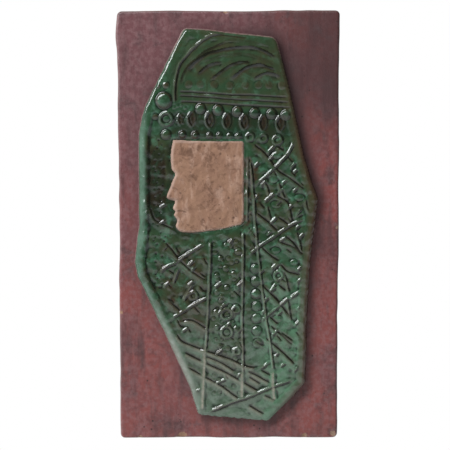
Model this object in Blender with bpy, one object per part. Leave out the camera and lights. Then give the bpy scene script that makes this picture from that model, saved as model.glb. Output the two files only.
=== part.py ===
"""Decorative wall plaque: one fired clay casting, hung on a wall.

A plain rectangular slab carries a raised figure in profile: a tall headdress, a bare face that looks
to the left, and a long cloak of crossed ridges, beads and rings. The back is hollowed by a shallow
tray, and its top rim is notched for a nail.

Axes: +X is the right of the plaque as seen from the front, +Z is up, and the back lies in the plane
y = 0, so that the front looks along -Y. The origin is the place on the back's top rim, on the centre
line above the notch, that rests on the wall.

The figure is drawn in millimetres of its own, x from the centre line and z from the foot of the slab,
and placed() stretches that drawing between the margins given below.
"""

import math

import bmesh
import bpy
import numpy as np
from mathutils.geometry import delaunay_2d_cdt

# The slab
slab_width = 0.205
slab_height = 0.400
slab_thickness = 0.014
corner_radius = 0.0045
edge_rounding = 0.0025

# The figure: its margins to the slab's edges, and how its body swells out of the slab
figure_left_margin = 0.0145
figure_right_margin = 0.0195
figure_top_margin = 0.0150
figure_foot_margin = 0.0175
figure_rise = 0.008
shoulder_width = 0.0060
rim_width = 0.0095
field_drop = 0.0009
field_slope = 0.0015
shoulder_bends = (0.12, 0.45, 1)

# The carving on the figure
ridge_width = 0.0030
ridge_rise = 0.0014
strong_ridge_width = 0.0040
strong_ridge_rise = 0.0019
bead_rise = 0.0018
flat_bead_rise = 0.0006
boss_rise = 0.0013
ring_line_width = 0.0030
ring_rise = 0.0013
petal_rise = 0.0016

# The face
face_rise = 0.0018
face_bevel = 0.0016
face_line_width = 0.0024
face_line_rise = 0.0005

# The back: a tray with a flat rim around it, and a notch for the nail in the top rim
back_rim = 0.016
tray_depth = 0.005
tray_corner_radius = 0.008
notch_width = 0.011
notch_height = 0.0075
notch_depth = 0.0065
notch_rounding = 0.0035
hanging_point_from_top = 0.0045
cutter_overlap = 0.002

# How finely round forms are cut into flats
arc_steps = 3
bend_spacing = 0.0065
bead_sides = 8
ring_sides = 12
merge_distance = 0.00012

top_edge = hanging_point_from_top
foot_edge = top_edge - slab_height
left_edge, right_edge = -slab_width / 2, slab_width / 2

# The drawing: its extent, and the metres that one of its millimetres becomes each way
drawn_left, drawn_right = -88.0, 83.0
drawn_foot, drawn_top = 17.5, 385.0
figure_width = slab_width - figure_left_margin - figure_right_margin
figure_height = slab_height - figure_top_margin - figure_foot_margin
stretch_across = figure_width / (drawn_right - drawn_left)
stretch_up = figure_height / (drawn_top - drawn_foot)
stretch_round = min(stretch_across, stretch_up)

# The figure's outline, clockwise from the top left: each corner, and the radius that rounds it
figure_outline = [
    (-41.2, 385.0, 5.5),
    (44.5, 375.8, 8.0),
    (55.0, 334.0, 0.0),
    (69.8, 268.5, 0.0),
    (77.5, 243.0, 0.0),
    (83.0, 227.0, 6.0),
    (75.4, 158.0, 0.0),
    (73.0, 110.0, 0.0),
    (72.2, 53.5, 5.0),
    (37.0, 17.5, 6.5),
    (-29.5, 23.3, 5.5),
    (-36.5, 47.0, 0.0),
    (-60.5, 101.0, 0.0),
    (-85.6, 154.0, 7.0),
    (-88.0, 168.0, 4.0),
    (-84.0, 200.0, 0.0),
    (-83.7, 287.0, 14.0),
    (-77.3, 313.5, 14.0),
]

# The headdress: a strong arc over softer ones, three brow bands, rows of beads and pointed petals
headdress_edge = [
    (-50, 316), (-49.8, 330), (-46.7, 347.4), (-41.3, 355.7), (-34.4, 363.3), (-26, 370.8),
    (-18.4, 375.8), (-10.7, 378.4), (-3, 378.6), (18, 376.5),
]
headdress_arcs = [
    [(-40, 343), (-33, 352), (-20, 361), (-7.7, 364.5), (10.6, 367.5), (28.9, 365.8), (46, 356.5)],
    [(-31.5, 339.5), (-24.6, 346.9), (-18.4, 350.7), (-10.8, 353.1), (-3, 353.7)],
    [(-19, 336.5), (-4.7, 347), (4.5, 352.1), (13.6, 354), (24, 352)],
    [(0, 337), (13.6, 347.5), (22.8, 351), (32, 351), (45, 345)],
    [(19.7, 336.3), (27.4, 341.4), (35, 343.7), (43.4, 341.9), (51.1, 337)],
]
brow_bands = [((-46, 327), (54, 321.5)), ((-46, 323.3), (56, 316.8)), ((-45, 318), (58, 312))]
flat_bead_places = [-36.6, -25.9, -13.3, 1.0, 15.5, 27.4, 37.2, 48.8]
flat_bead_line = ((-36.6, 332.5), (48.8, 331.0))
flat_bead_size = 7.2
petal_places = [-33.6, -17.5, -1.5, 14.4, 31.7, 47.6]
petal_line = ((-33.6, 301.1), (47.6, 296.6))
petal_size = (8.0, 15.5)
petal_pointedness = 0.4
petal_swelling = 0.62
upper_bead_places = [-25.9, -9.8, 7.5, 23.7, 39.4, 52.2]
upper_bead_line = ((-25.9, 310.2), (52.2, 304.2))
upper_bead_size = 8.8
lower_bead_places = [-42.8, -30.9, -18.0, -8.5, 1.2, 8.8]
lower_bead_line = ((-42.8, 286.6), (8.8, 285.1))
lower_bead_size = 6.4
temple_beads = [(-59.6, 317.5, 14.2), (-57.8, 286.6, 8.6), (-57.5, 331.5, 6.0)]
temple_rings = [(-57.0, 300.8, 11.5), (19.7, 283.9, 6.5), (32.2, 283.2, 6.5), (45.3, 281.0, 7.5)]

# The face in profile, looking left. Its thirds are hair to brow, brow to nose, and nose to chin.
face_left, face_right = -57.0, 14.5
face_foot, face_top = 195.5, 281.0
profile_shares = [
    (0.085, 1.000), (0.062, 0.900), (0.055, 0.780), (0.062, 0.690), (0.104, 0.635),
    (0.060, 0.530), (0.000, 0.420), (0.012, 0.375), (0.102, 0.350), (0.076, 0.275),
    (0.108, 0.240), (0.086, 0.195), (0.134, 0.145), (0.112, 0.075), (0.160, 0.022),
    (0.260, 0.000), (0.480, 0.012), (0.720, 0.040), (0.960, 0.085),
]
nape_shares = [(1.000, 0.120), (1.000, 0.975), (0.975, 1.000)]
brow_shares = [(0.105, 0.700), (0.200, 0.735), (0.340, 0.700)]
eyelid_shares = [(0.165, 0.600), (0.240, 0.640), (0.345, 0.600), (0.250, 0.575)]
nostril_shares = [(0.150, 0.440), (0.190, 0.400), (0.150, 0.370)]
mouth_shares = [(0.108, 0.240), (0.190, 0.243), (0.260, 0.225)]

# The cloak: long hems that run down, rising and falling folds that cross them, beads and rings
hems = [
    [(14.0, 197), (13.0, 150), (13.0, 40)],
    [(19.5, 262), (22, 240), (25, 204), (29, 160), (34.4, 118), (38.2, 96.5), (41, 70), (43, 38)],
    [(-16.6, 188), (-17.6, 153), (-19.2, 122), (-21.9, 80), (-24.6, 29)],
]
strong_folds = [
    [(25, 240), (43.3, 256.7), (55, 269), (61.7, 282)],
    [(17.5, 174), (32.5, 186), (58.3, 203), (70, 209)],
    [(-64.5, 158), (-56.4, 165), (-48.9, 168.3), (-36, 177), (-22.5, 186)],
    [(-20, 27.3), (14.3, 40), (43, 51.7), (60, 57.8)],
    [(27, 68), (33, 70), (38, 75)],
]
hem_folds = [
    [(-50, 101), (-45.8, 94.6), (-38, 89.8), (-20.9, 84.2), (-3.7, 77.6), (13.4, 70.4), (25, 68)],
    [(-42, 82.6), (-22.5, 73), (-0.6, 62), (27, 46.3)],
    [(-43, 70.6), (-21, 58.4), (-10, 52), (9, 38.5)],
    [(16.5, 65.5), (38.4, 54)],
    [(17.5, 33), (33, 24)],
    [(-44, 112), (-33.5, 112.5), (-20, 104)],
]
rising_folds = [
    [(36, 269), (43, 276)],
    [(57, 255), (62, 261)],
    [(59, 233), (65, 239)],
    [(33, 224), (43, 232.5)],
    [(62, 211), (67, 218)],
    [(38, 204), (45, 210)],
    [(65, 190), (70, 196)],
    [(39.6, 161.1), (47.5, 167.8)],
    [(38, 140), (44, 148.5)],
    [(63.6, 146.2), (69, 153)],
    [(31, 113.5), (47, 127), (56, 135)],
    [(57, 134), (66, 141)],
    [(40, 98), (46, 104.5)],
    [(43, 78.5), (47.5, 84)],
    [(-52, 116), (-33, 128), (-19, 135.5)],
    [(-60.5, 145), (-55, 150)],
    [(-44, 102.5), (-37, 107)],
    [(-64, 218.5), (-57.5, 223)],
    [(-64, 204), (-58, 207.5)],
    [(-13, 53.5), (-3, 58)],
    [(-32, 46.5), (-25, 49)],
    [(-12, 30), (-4, 34)],
]
falling_folds = [
    [(22.5, 277), (35, 266), (45, 253), (58.3, 244), (70, 235)],
    [(44, 274.6), (51, 270)],
    [(44, 229), (54, 223), (58.3, 206)],
    [(25, 214), (38.3, 203), (45, 196)],
    [(45, 209), (56, 201.5)],
    [(43.9, 188.1), (51.1, 184.3), (60.4, 181), (68, 173.5)],
    [(29.5, 182), (36.2, 175.6), (47, 167.8)],
    [(46.7, 166), (55, 158.5), (66.7, 155)],
    [(27.5, 148), (40, 136.7), (58.3, 115)],
    [(45, 146.7), (53.3, 140)],
    [(36.7, 116.7), (46.7, 108)],
    [(47.5, 101.7), (60, 92.5)],
    [(48.6, 80.5), (56.2, 74.8)],
    [(-60, 186), (-48, 172), (-36, 160), (-22, 151)],
    [(-58, 134), (-52, 127.5), (-45, 121)],
    [(-74, 219), (-70, 208), (-62, 203), (-52, 198.5)],
]
steep_folds = [
    [(31.5, 243.5), (35.1, 238.3), (37.4, 229.1)],
    [(45.9, 242.4), (49, 233), (52.1, 226.5)],
    [(35, 221), (39, 207)],
    [(61.9, 196.5), (65.1, 187.2), (67.7, 176.8)],
    [(50.2, 161.1), (53.3, 150.9), (55.6, 139.2)],
    [(54.5, 133), (59, 117)],
    [(-46, 163), (-51.5, 148)],
    [(-33, 148), (-38, 140), (-42, 131)],
]
hem_bead_line = ((24.5, 162.0), (26.5, 92.5))
hem_bead_count = 7
hem_bead_size = 8.4
cloak_beads = [
    (9.0, 178, 7.5), (7.5, 144, 7), (-8, 172, 5), (-3, 163, 6), (-11, 156, 5), (4, 158, 5),
    (-11, 141, 5), (-2, 145, 5), (-7, 133, 5), (-12, 122, 5), (-11, 108, 5), (7, 106, 6), (-9, 90, 5),
]
cloak_bosses = [
    (44.3, 267.5, 9.0), (41.3, 245.0, 8.5), (43.9, 222.0, 9.0), (65.4, 228.7, 9.0), (43.5, 179.5, 8.0),
    (45, 115, 9.0), (46, 95, 8.5), (61, 168, 7.0), (-40, 152, 7.0), (-50, 141, 7.0),
]
boss_height_share = 0.68
cloak_rings = [
    (-1.5, 119.5, 10), (-1.5, 102.3, 10.5), (7.5, 84, 6), (7.5, 124, 6.5), (-32.5, 137, 7), (46.5, 156, 7.5),
]


def placed(points):
    """Points of the drawing, in metres on the slab."""
    points = np.asarray(points, float)
    across = left_edge + figure_left_margin + (points[..., 0] - drawn_left) * stretch_across
    up = foot_edge + figure_foot_margin + (points[..., 1] - drawn_foot) * stretch_up
    return np.stack([across, up], axis=-1)


def on_face(shares):
    """Points given as shares of the face's width and height, in the drawing."""
    across, up = np.asarray(shares, float).T
    return np.stack(
        [face_left + across * (face_right - face_left), face_foot + up * (face_top - face_foot)],
        axis=-1,
    )


def along_line(places, line):
    """Drawn places across, each with its height on a straight line."""
    (x0, z0), (x1, z1) = line
    return [(x, z0 + (x - x0) * (z1 - z0) / (x1 - x0)) for x in places]


def moved_inwards(corners, distance):
    """A closed outline, drawn clockwise, with each side moved inwards by the distance."""
    runs = np.roll(corners, -1, axis=0) - corners
    runs /= np.linalg.norm(runs, axis=1)[:, None]
    inwards = np.stack([runs[:, 1], -runs[:, 0]], axis=1)
    before = np.roll(inwards, 1, axis=0)
    mitre = (before + inwards) / (1 + np.sum(before * inwards, axis=1))[:, None]
    return corners + distance * mitre


def rounded(corners, radii):
    """A closed outline with its corners rounded, each by its own radius."""
    points = []
    for index, (corner, radius) in enumerate(zip(corners, radii)):
        back = corners[index - 1] - corner
        ahead = corners[(index + 1) % len(corners)] - corner
        back, ahead = back / np.linalg.norm(back), ahead / np.linalg.norm(ahead)
        if radius <= 0:
            points.append(corner)
            continue
        half_angle = math.acos(np.clip(back @ ahead, -1, 1)) / 2
        middle = (back + ahead) / np.linalg.norm(back + ahead)
        centre = corner + middle * radius / math.sin(half_angle)
        reach = radius / math.tan(half_angle)
        start, end = corner + back * reach - centre, corner + ahead * reach - centre
        turn = math.pi - 2 * half_angle
        for step in range(arc_steps + 1):
            share = step / arc_steps
            from_start = math.sin((1 - share) * turn) / math.sin(turn)
            from_end = math.sin(share * turn) / math.sin(turn)
            points.append(centre + from_start * start + from_end * end)
    return np.array(points)


def rounded_box(left, foot, right, top, radius):
    """The outline of a rectangle with round corners, clockwise."""
    corners = np.array([(left, top), (right, top), (right, foot), (left, foot)])
    return rounded(corners, [radius] * len(corners))


def smooth_line(points):
    """A curve through points, cut into runs of about the bend spacing."""
    points = np.asarray(points, float)
    if len(points) < 3:
        return points
    ends = np.vstack([2 * points[0] - points[1], points, 2 * points[-1] - points[-2]])
    curve = [points[0]]
    for a, b, c, d in zip(ends, ends[1:], ends[2:], ends[3:]):
        count = max(1, round(np.linalg.norm(c - b) / bend_spacing))
        for number in range(1, count + 1):
            t = number / count
            bend = (2 * a - 5 * b + 4 * c - d) * t**2 + (3 * b - a - 3 * c + d) * t**3
            curve.append((2 * b + (c - a) * t + bend) / 2)
    return np.array(curve)


def distance_to_line(points, line):
    """How far each point lies from a line of straight runs."""
    nearest = np.full(len(points), np.inf)
    for start, end in zip(line, line[1:]):
        run = end - start
        share = np.clip((points - start) @ run / (run @ run), 0, 1)
        gap = points - start - share[:, None] * run
        nearest = np.minimum(nearest, np.linalg.norm(gap, axis=1))
    return nearest


def depth_inside(points, outline):
    """How far inside a closed outline each point lies, and 0 outside it."""
    inside = np.zeros(len(points), bool)
    for (x0, z0), (x1, z1) in zip(outline, np.roll(outline, -1, axis=0)):
        if z0 != z1:
            level = (points[:, 1] < z0) != (points[:, 1] < z1)
            crossing = x0 + (points[:, 1] - z0) * (x1 - x0) / (z1 - z0)
            inside ^= level & (points[:, 0] < crossing)
    closed = np.vstack([outline, outline[:1]])
    return np.where(inside, distance_to_line(points, closed), 0.0)


def ellipse(centre, half_across, half_up, sides):
    """A closed outline round a centre."""
    turn = np.arange(sides) * 2 * math.pi / sides
    return centre + np.stack([half_across * np.cos(turn), half_up * np.sin(turn)], axis=1)


class Ridge:
    """A raised line with a roof-shaped section, which dies out round its ends."""

    def __init__(self, line, width, rise, closed=False):
        self.line = np.vstack([line, line[:1]]) if closed else line
        self.closed = closed
        self.half = width / 2
        self.rise = rise

    def lines(self):
        """The crest, and the foot of both flanks."""
        runs = np.diff(self.line, axis=0)
        runs /= np.linalg.norm(runs, axis=1)[:, None]
        first, last = (runs[-1:], runs[:1]) if self.closed else (runs[:1], runs[-1:])
        along = np.vstack([first, runs]) + np.vstack([runs, last])
        along /= np.linalg.norm(along, axis=1)[:, None]
        side = np.stack([-along[:, 1], along[:, 0]], axis=1) * self.half
        left, right = self.line + side, self.line - side
        if self.closed:
            return [self.line, left, right]
        before = self.line[:1] - along[:1] * self.half
        after = self.line[-1:] + along[-1:] * self.half
        return [self.line, np.vstack([before, left, after, right[::-1], before])]

    def heights(self, points):
        return self.rise * np.clip(1 - distance_to_line(points, self.line) / self.half, 0, 1)


class Dome:
    """A round or oval swelling."""

    bends = (1, 0.66)
    crown_length = 0.1

    def __init__(self, centre, half_across, half_up, rise, sides):
        self.centre = centre
        self.halves = np.array([half_across, half_up])
        self.rise = rise
        self.sides = sides

    def lines(self):
        """The foot, a ring two thirds out, and a short line at the crown."""
        rings = [ellipse(self.centre, *(self.halves * share), self.sides) for share in self.bends]
        crown = self.halves * (0, self.crown_length)
        lines = [np.vstack([outline, outline[:1]]) for outline in rings]
        return lines + [np.array([self.centre - crown, self.centre + crown])]

    def heights(self, points):
        out = np.linalg.norm((points - self.centre) / self.halves, axis=1)
        return self.rise * np.sqrt(np.clip(1 - out**2, 0, 1))


def bead(x, z, drawn_width, rise=bead_rise):
    half = drawn_width / 2 * stretch_round
    return Dome(placed((x, z)), half, half, rise, bead_sides)


def boss(x, z, drawn_width):
    """A low oval swelling between the folds."""
    half = drawn_width / 2 * stretch_round
    return Dome(placed((x, z)), half, half * boss_height_share, boss_rise, bead_sides)


def ring(x, z, drawn_width):
    half = drawn_width / 2 * stretch_round
    crest = ellipse(placed((x, z)), half, half, ring_sides)
    return Ridge(crest, ring_line_width, ring_rise, closed=True)


def petal(x, z):
    """A pointed oval: a ridge along its two bowed sides, around a swelling."""
    centre = placed((x, z))
    half_across, half_up = petal_size[0] / 2 * stretch_across, petal_size[1] / 2 * stretch_up
    turn = np.arange(ring_sides) * 2 * math.pi / ring_sides
    across = half_across * np.sin(turn) * np.abs(np.sin(turn)) ** petal_pointedness
    outline = centre + np.stack([across, half_up * np.cos(turn)], axis=1)
    inner = (half_across * petal_swelling, half_up * petal_swelling)
    swelling = Dome(centre, *inner, petal_rise * petal_swelling, bead_sides)
    return [Ridge(outline, ring_line_width, petal_rise, closed=True), swelling]


def headdress():
    """The arcs, brow bands, beads and petals above the face."""
    forms = [Ridge(smooth_line(placed(headdress_edge)), strong_ridge_width, strong_ridge_rise)]
    forms += [Ridge(smooth_line(placed(arc)), strong_ridge_width, ridge_rise) for arc in headdress_arcs]
    forms += [Ridge(placed(band), ridge_width, ridge_rise) for band in brow_bands]
    for places, line, size, rise in (
        (flat_bead_places, flat_bead_line, flat_bead_size, flat_bead_rise),
        (upper_bead_places, upper_bead_line, upper_bead_size, bead_rise),
        (lower_bead_places, lower_bead_line, lower_bead_size, bead_rise),
    ):
        forms += [bead(x, z, size, rise) for x, z in along_line(places, line)]
    forms += [bead(*place) for place in temple_beads]
    forms += [ring(*place) for place in temple_rings]
    for place in along_line(petal_places, petal_line):
        forms += petal(*place)
    return forms


def cloak():
    """The hems, the crossed folds, the beads and the rings below and behind the face."""
    forms = [Ridge(smooth_line(placed(hem)), ridge_width, strong_ridge_rise) for hem in hems]
    for fold in strong_folds + hem_folds:
        forms.append(Ridge(smooth_line(placed(fold)), strong_ridge_width, strong_ridge_rise))
    for group in (rising_folds, falling_folds, steep_folds):
        forms += [Ridge(smooth_line(placed(fold)), ridge_width, ridge_rise) for fold in group]
    (x0, z0), (x1, z1) = hem_bead_line
    for number in range(hem_bead_count):
        share = number / (hem_bead_count - 1)
        forms.append(bead(x0 + share * (x1 - x0), z0 + share * (z1 - z0), hem_bead_size))
    forms += [bead(*place) for place in cloak_beads]
    forms += [boss(*place) for place in cloak_bosses]
    forms += [ring(*place) for place in cloak_rings]
    return forms


def face_outline():
    """The profile, the jaw, the straight nape side and the top, clockwise from the forehead."""
    profile = placed(on_face(profile_shares))
    nape = placed(on_face(nape_shares))
    return np.vstack([profile, nape])[::-1]


def face_lines():
    """Brow, closed eyelid and nostril raised, and the mouth as a groove."""
    def line(shares, rise):
        return Ridge(placed(on_face(shares)), face_line_width, rise)

    lid = Ridge(placed(on_face(eyelid_shares)), face_line_width, face_line_rise, closed=True)
    return [
        line(brow_shares, face_line_rise),
        lid,
        line(nostril_shares, face_line_rise),
        line(mouth_shares, -face_line_rise),
    ]


class Front:
    """The plaque's front as one surface: where it bends, and how far it stands proud of the slab."""

    def __init__(self):
        self.slab = rounded_box(left_edge, foot_edge, right_edge, top_edge, corner_radius)
        self.flat = rounded_box(
            left_edge + edge_rounding, foot_edge + edge_rounding,
            right_edge - edge_rounding, top_edge - edge_rounding,
            max(corner_radius - edge_rounding, edge_rounding),
        )
        corners = np.array(figure_outline)
        self.corners = placed(corners[:, :2])
        self.radii = corners[:, 2] * stretch_round
        self.figure = rounded(self.corners, self.radii)
        self.face = face_outline()
        self.carving = headdress() + cloak()
        self.features = face_lines()

    def lines(self):
        """Every line along which the surface bends."""
        closed = [self.slab, self.flat, self.figure, self.face, moved_inwards(self.face, face_bevel)]
        depths = [shoulder_width * share for share in shoulder_bends]
        depths += [rim_width, rim_width + field_slope]
        for depth in depths:
            radii = np.clip(self.radii - depth, 0, None)
            closed.append(rounded(moved_inwards(self.corners, depth), radii))
        lines = [np.vstack([outline, outline[:1]]) for outline in closed]
        for form in self.carving + self.features:
            lines += form.lines()
        return lines

    def heights(self, points):
        """How far the surface stands in front of the slab's face at each point."""
        depth = depth_inside(points, self.figure)
        body = figure_rise * np.sqrt(1 - (1 - np.clip(depth / shoulder_width, 0, 1)) ** 2)
        body -= field_drop * np.clip((depth - rim_width) / field_slope, 0, 1)
        in_face = depth_inside(points, self.face)
        carving = np.max([form.heights(points) for form in self.carving], axis=0)
        carving *= np.clip(depth / shoulder_width, 0, 1) * (in_face == 0)
        features = np.sum([form.heights(points) for form in self.features], axis=0)
        face = (face_rise + features) * np.clip(in_face / face_bevel, 0, 1)
        edge = edge_rounding * (1 - np.clip(depth_inside(points, self.slab) / edge_rounding, 0, 1))
        return body + carving + face - edge


def plaque_mesh():
    """The front, cut along its lines, with straight sides and a flat back."""
    front = Front()
    points, edges = [], []
    for line in front.lines():
        first = len(points)
        points += [tuple(point) for point in line]
        edges += [(number, number + 1) for number in range(first, len(points) - 1)]
    places, _, faces, *_ = delaunay_2d_cdt(points, edges, [], 0, merge_distance)
    places = np.array([tuple(place) for place in places])
    heights = front.heights(places)

    form = bmesh.new()
    verts = [form.verts.new((x, -slab_thickness - rise, z)) for (x, z), rise in zip(places, heights)]
    for face in faces:
        form.faces.new([verts[number] for number in face])
    rim = [edge for edge in form.edges if edge.is_boundary]
    walls = bmesh.ops.extrude_edge_only(form, edges=rim)["geom"]
    for vert in walls:
        if isinstance(vert, bmesh.types.BMVert):
            vert.co.y = 0.0
    back = [edge for edge in form.edges if edge.is_boundary]
    bmesh.ops.edgeloop_fill(form, edges=back)
    bmesh.ops.recalc_face_normals(form, faces=form.faces)
    mesh = bpy.data.meshes.new("plaque")
    form.to_mesh(mesh)
    form.free()
    return mesh


def cutter(name, outline, depth):
    """A prism that cuts the outline into the back to the depth."""
    form = bmesh.new()
    face = form.faces.new([form.verts.new((x, cutter_overlap, z)) for x, z in outline])
    deep = bmesh.ops.extrude_face_region(form, geom=[face])["geom"]
    for vert in deep:
        if isinstance(vert, bmesh.types.BMVert):
            vert.co.y = -depth
    bmesh.ops.recalc_face_normals(form, faces=form.faces)
    mesh = bpy.data.meshes.new(name)
    form.to_mesh(mesh)
    form.free()
    tool = bpy.data.objects.new(name, mesh)
    tool.hide_render = True
    tool.display_type = "WIRE"
    bpy.context.scene.collection.objects.link(tool)
    return tool


def cut_back(plaque):
    """Hollows the back with the tray, and notches its top rim for the nail."""
    tray_top = top_edge - back_rim
    tray = rounded_box(
        left_edge + back_rim, foot_edge + back_rim, right_edge - back_rim, tray_top, tray_corner_radius
    )
    half = notch_width / 2
    notch = rounded_box(-half, tray_top - notch_height, half, tray_top + notch_height, notch_rounding)
    for tool in (cutter("tray_cutter", tray, tray_depth), cutter("notch_cutter", notch, notch_depth)):
        cut = plaque.modifiers.new(tool.name, "BOOLEAN")
        cut.operation = "DIFFERENCE"
        cut.solver = "EXACT"
        cut.object = tool


def glazed_clay():
    """Bottle green glaze, the finish that covers the figure."""
    material = bpy.data.materials.new("green_glaze")
    material.use_nodes = True
    shader = material.node_tree.nodes["Principled BSDF"]
    shader.inputs["Base Color"].default_value = (0.04, 0.10, 0.05, 1.0)
    shader.inputs["Roughness"].default_value = 0.25
    shader.inputs["Metallic"].default_value = 0.0
    return material


def main():
    for thing in list(bpy.data.objects):
        bpy.data.objects.remove(thing)
    plaque = bpy.data.objects.new("plaque", plaque_mesh())
    plaque.data.materials.append(glazed_clay())
    bpy.context.scene.collection.objects.link(plaque)
    cut_back(plaque)


main()
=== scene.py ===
"""Glazed relief wall plaque: an engobed clay slab, a raised figure in green glaze, and its bare clay face.

Laid out as an add-on and run as a script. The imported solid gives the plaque's place and outer size. The
carving is drawn in millimetres of its own, x from the centre line and z from the foot of the slab, and
Drawing.place() stretches that drawing between the figure's margins. Heights are counted in the same
millimetres, forwards from the slab's face.
"""

import math

import bmesh
import bpy
import numpy as np
from bpy.props import FloatProperty, FloatVectorProperty, IntProperty, PointerProperty
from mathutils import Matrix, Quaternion, Vector


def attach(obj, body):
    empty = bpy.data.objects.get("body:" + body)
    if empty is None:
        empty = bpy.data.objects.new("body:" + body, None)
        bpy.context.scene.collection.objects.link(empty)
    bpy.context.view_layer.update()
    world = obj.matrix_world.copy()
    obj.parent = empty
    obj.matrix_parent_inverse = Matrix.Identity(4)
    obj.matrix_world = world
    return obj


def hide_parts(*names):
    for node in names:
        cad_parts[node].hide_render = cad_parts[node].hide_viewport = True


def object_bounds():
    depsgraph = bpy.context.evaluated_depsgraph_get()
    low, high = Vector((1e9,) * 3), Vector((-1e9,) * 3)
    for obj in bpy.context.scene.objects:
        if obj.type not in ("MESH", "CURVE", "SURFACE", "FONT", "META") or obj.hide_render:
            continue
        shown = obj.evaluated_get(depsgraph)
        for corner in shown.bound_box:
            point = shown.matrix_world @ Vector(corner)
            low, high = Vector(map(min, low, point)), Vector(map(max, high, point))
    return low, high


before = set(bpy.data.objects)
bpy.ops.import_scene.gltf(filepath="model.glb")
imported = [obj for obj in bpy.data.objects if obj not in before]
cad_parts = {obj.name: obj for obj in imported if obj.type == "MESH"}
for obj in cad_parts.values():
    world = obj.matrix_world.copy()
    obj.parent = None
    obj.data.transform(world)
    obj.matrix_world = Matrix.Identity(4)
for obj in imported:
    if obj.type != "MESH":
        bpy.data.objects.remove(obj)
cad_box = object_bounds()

bl_info = {
    "name": "Glazed relief wall plaque",
    "version": (1, 0, 0),
    "blender": (4, 5, 0),
    "location": "3D View > Sidebar > Plaque",
    "description": "Builds a wall plaque of fired clay: engobed slab, glazed relief figure, bare clay face",
    "category": "Object",
}

NODE = "plaque"
BODY = "root"
MM = 0.001
LOW, HIGH = cad_box


def length(name, default, description, smallest=0.0):
    """A size in metres that the sidebar shows."""
    return FloatProperty(
        name=name, description=description, default=default, min=smallest,
        precision=4, unit="LENGTH", subtype="DISTANCE",
    )


def angle(name, degrees, description):
    """An angle that the sidebar shows in degrees."""
    return FloatProperty(
        name=name, description=description, default=math.radians(degrees), unit="ROTATION", subtype="ANGLE"
    )


def offset(name, default, description):
    """A distance in metres that may also be negative."""
    return FloatProperty(
        name=name, description=description, default=default, precision=4, unit="LENGTH", subtype="DISTANCE"
    )


def amount(name, default, description, smallest=0.0, unit="NONE"):
    """A plain number that the sidebar shows."""
    return FloatProperty(name=name, description=description, default=default, min=smallest, unit=unit)


def colour(name, default, description):
    """A colour that the sidebar shows."""
    return FloatVectorProperty(
        name=name, description=description, default=default, size=3, min=0.0, max=1.0, subtype="COLOR"
    )


class SlabSizes(bpy.types.PropertyGroup):
    width: length("Width", HIGH.x - LOW.x, "Width of the slab")
    height: length("Height", HIGH.z - LOW.z, "Height of the slab")
    thickness: length("Thickness", 0.014, "From the flat back to the slab's face")
    corner_radius: length("Corner radius", 0.0042, "Radius of the slab's corners, seen from the front")
    edge_rounding: length("Edge rounding", 0.0027, "Radius between the face and the sides")
    back_rounding: length("Back rounding", 0.0012, "Radius between the sides and the back")
    waviness: length("Edge waviness", 0.0006, "How far the hand-cut edges wander")
    mesh_step: length("Mesh step", 0.0016, "Spacing of the face's mesh", 0.0005)
    back_rim: length("Back rim", 0.016, "Width of the flat rim around the hollow back")
    tray_depth: length("Tray depth", 0.005, "Depth of the hollow in the back")
    tray_corner_radius: length("Tray corner radius", 0.008, "Radius of the hollow's corners")
    tray_rounding: length("Tray rounding", 0.002, "Radius at the bottom of the hollow")
    notch_width: length("Notch width", 0.011, "Width of the notch for the nail")
    notch_height: length("Notch height", 0.0075, "How far the notch reaches into the top rim")
    notch_depth: length("Notch depth", 0.0065, "Depth of the notch")
    notch_rounding: length("Notch rounding", 0.0035, "Radius of the notch's corners")
    notch_edge_rounding: length("Notch edge rounding", 0.000975, "Radius at the bottom of the notch")


class FigureSizes(bpy.types.PropertyGroup):
    left_margin: length("Left margin", 0.0145, "From the slab's left edge to the figure")
    right_margin: length("Right margin", 0.0195, "From the figure to the slab's right edge")
    top_margin: length("Top margin", 0.0150, "From the slab's top edge to the figure")
    foot_margin: length("Foot margin", 0.0175, "From the figure to the slab's foot")
    rise: length("Rise", 0.0078, "How far the figure's rim stands in front of the slab")
    narrow_shoulder: length("Narrow shoulder", 0.0034, "Width of the bevelled edge along the top and right")
    broad_shoulder: length("Broad shoulder", 0.0085, "Width of the rounded edge along the left")
    wall: length("Wall", 0.0060, "Height of the steep side below the narrow shoulder")
    rim_width: length("Rim width", 0.0090, "From the figure's outline to the foot of its plain rim")
    field_drop: length("Field drop", 0.0016, "How far the carved field lies behind the rim")
    field_slope: length("Field slope", 0.0018, "Width of the slope between the rim and the field")
    seat: length("Seat", 0.0025, "How far the figure reaches into the slab")
    hand_wobble: length("Hand wobble", 0.0004, "How far drawn lines stray from their course")
    mesh_step: length("Mesh step", 0.00075, "Spacing of the relief's mesh", 0.0003)


class CarvingSizes(bpy.types.PropertyGroup):
    ridge_width: length("Ridge width", 0.0026, "Width of a fine raised line")
    ridge_rise: length("Ridge rise", 0.0011, "Height of a fine raised line")
    strong_ridge_width: length("Strong ridge width", 0.0030, "Width of a long raised line")
    strong_ridge_rise: length("Strong ridge rise", 0.0014, "Height of a long raised line")
    fold_width: length("Fold width", 0.0062, "Width of a falling fold, with its soft flank")
    arc_width: length("Arc width", 0.0070, "Width of the soft folds in the headdress and at the foot")
    arc_rise: length("Arc rise", 0.00055, "Height of the headdress's soft folds")
    bead_rise: length("Bead rise", 0.0021, "Height of a bead")
    flat_bead_rise: length("Flat bead rise", 0.0003, "Height of a flat bead in the headdress")
    boss_rise: length("Boss rise", 0.0006, "Height of an oval boss between the folds")
    ring_line_width: length("Ring line width", 0.0026, "Width of a ring's raised line")
    ring_rise: length("Ring rise", 0.0014, "Height of a ring")
    petal_rise: length("Petal rise", 0.0017, "Height of a petal's raised edge")
    lump_rise: length("Lump rise", 0.00045, "How far the glazed surface swells and sinks")
    seed: IntProperty(name="Seed", description="Changes the small random beads and marks", default=7, min=0)


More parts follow.
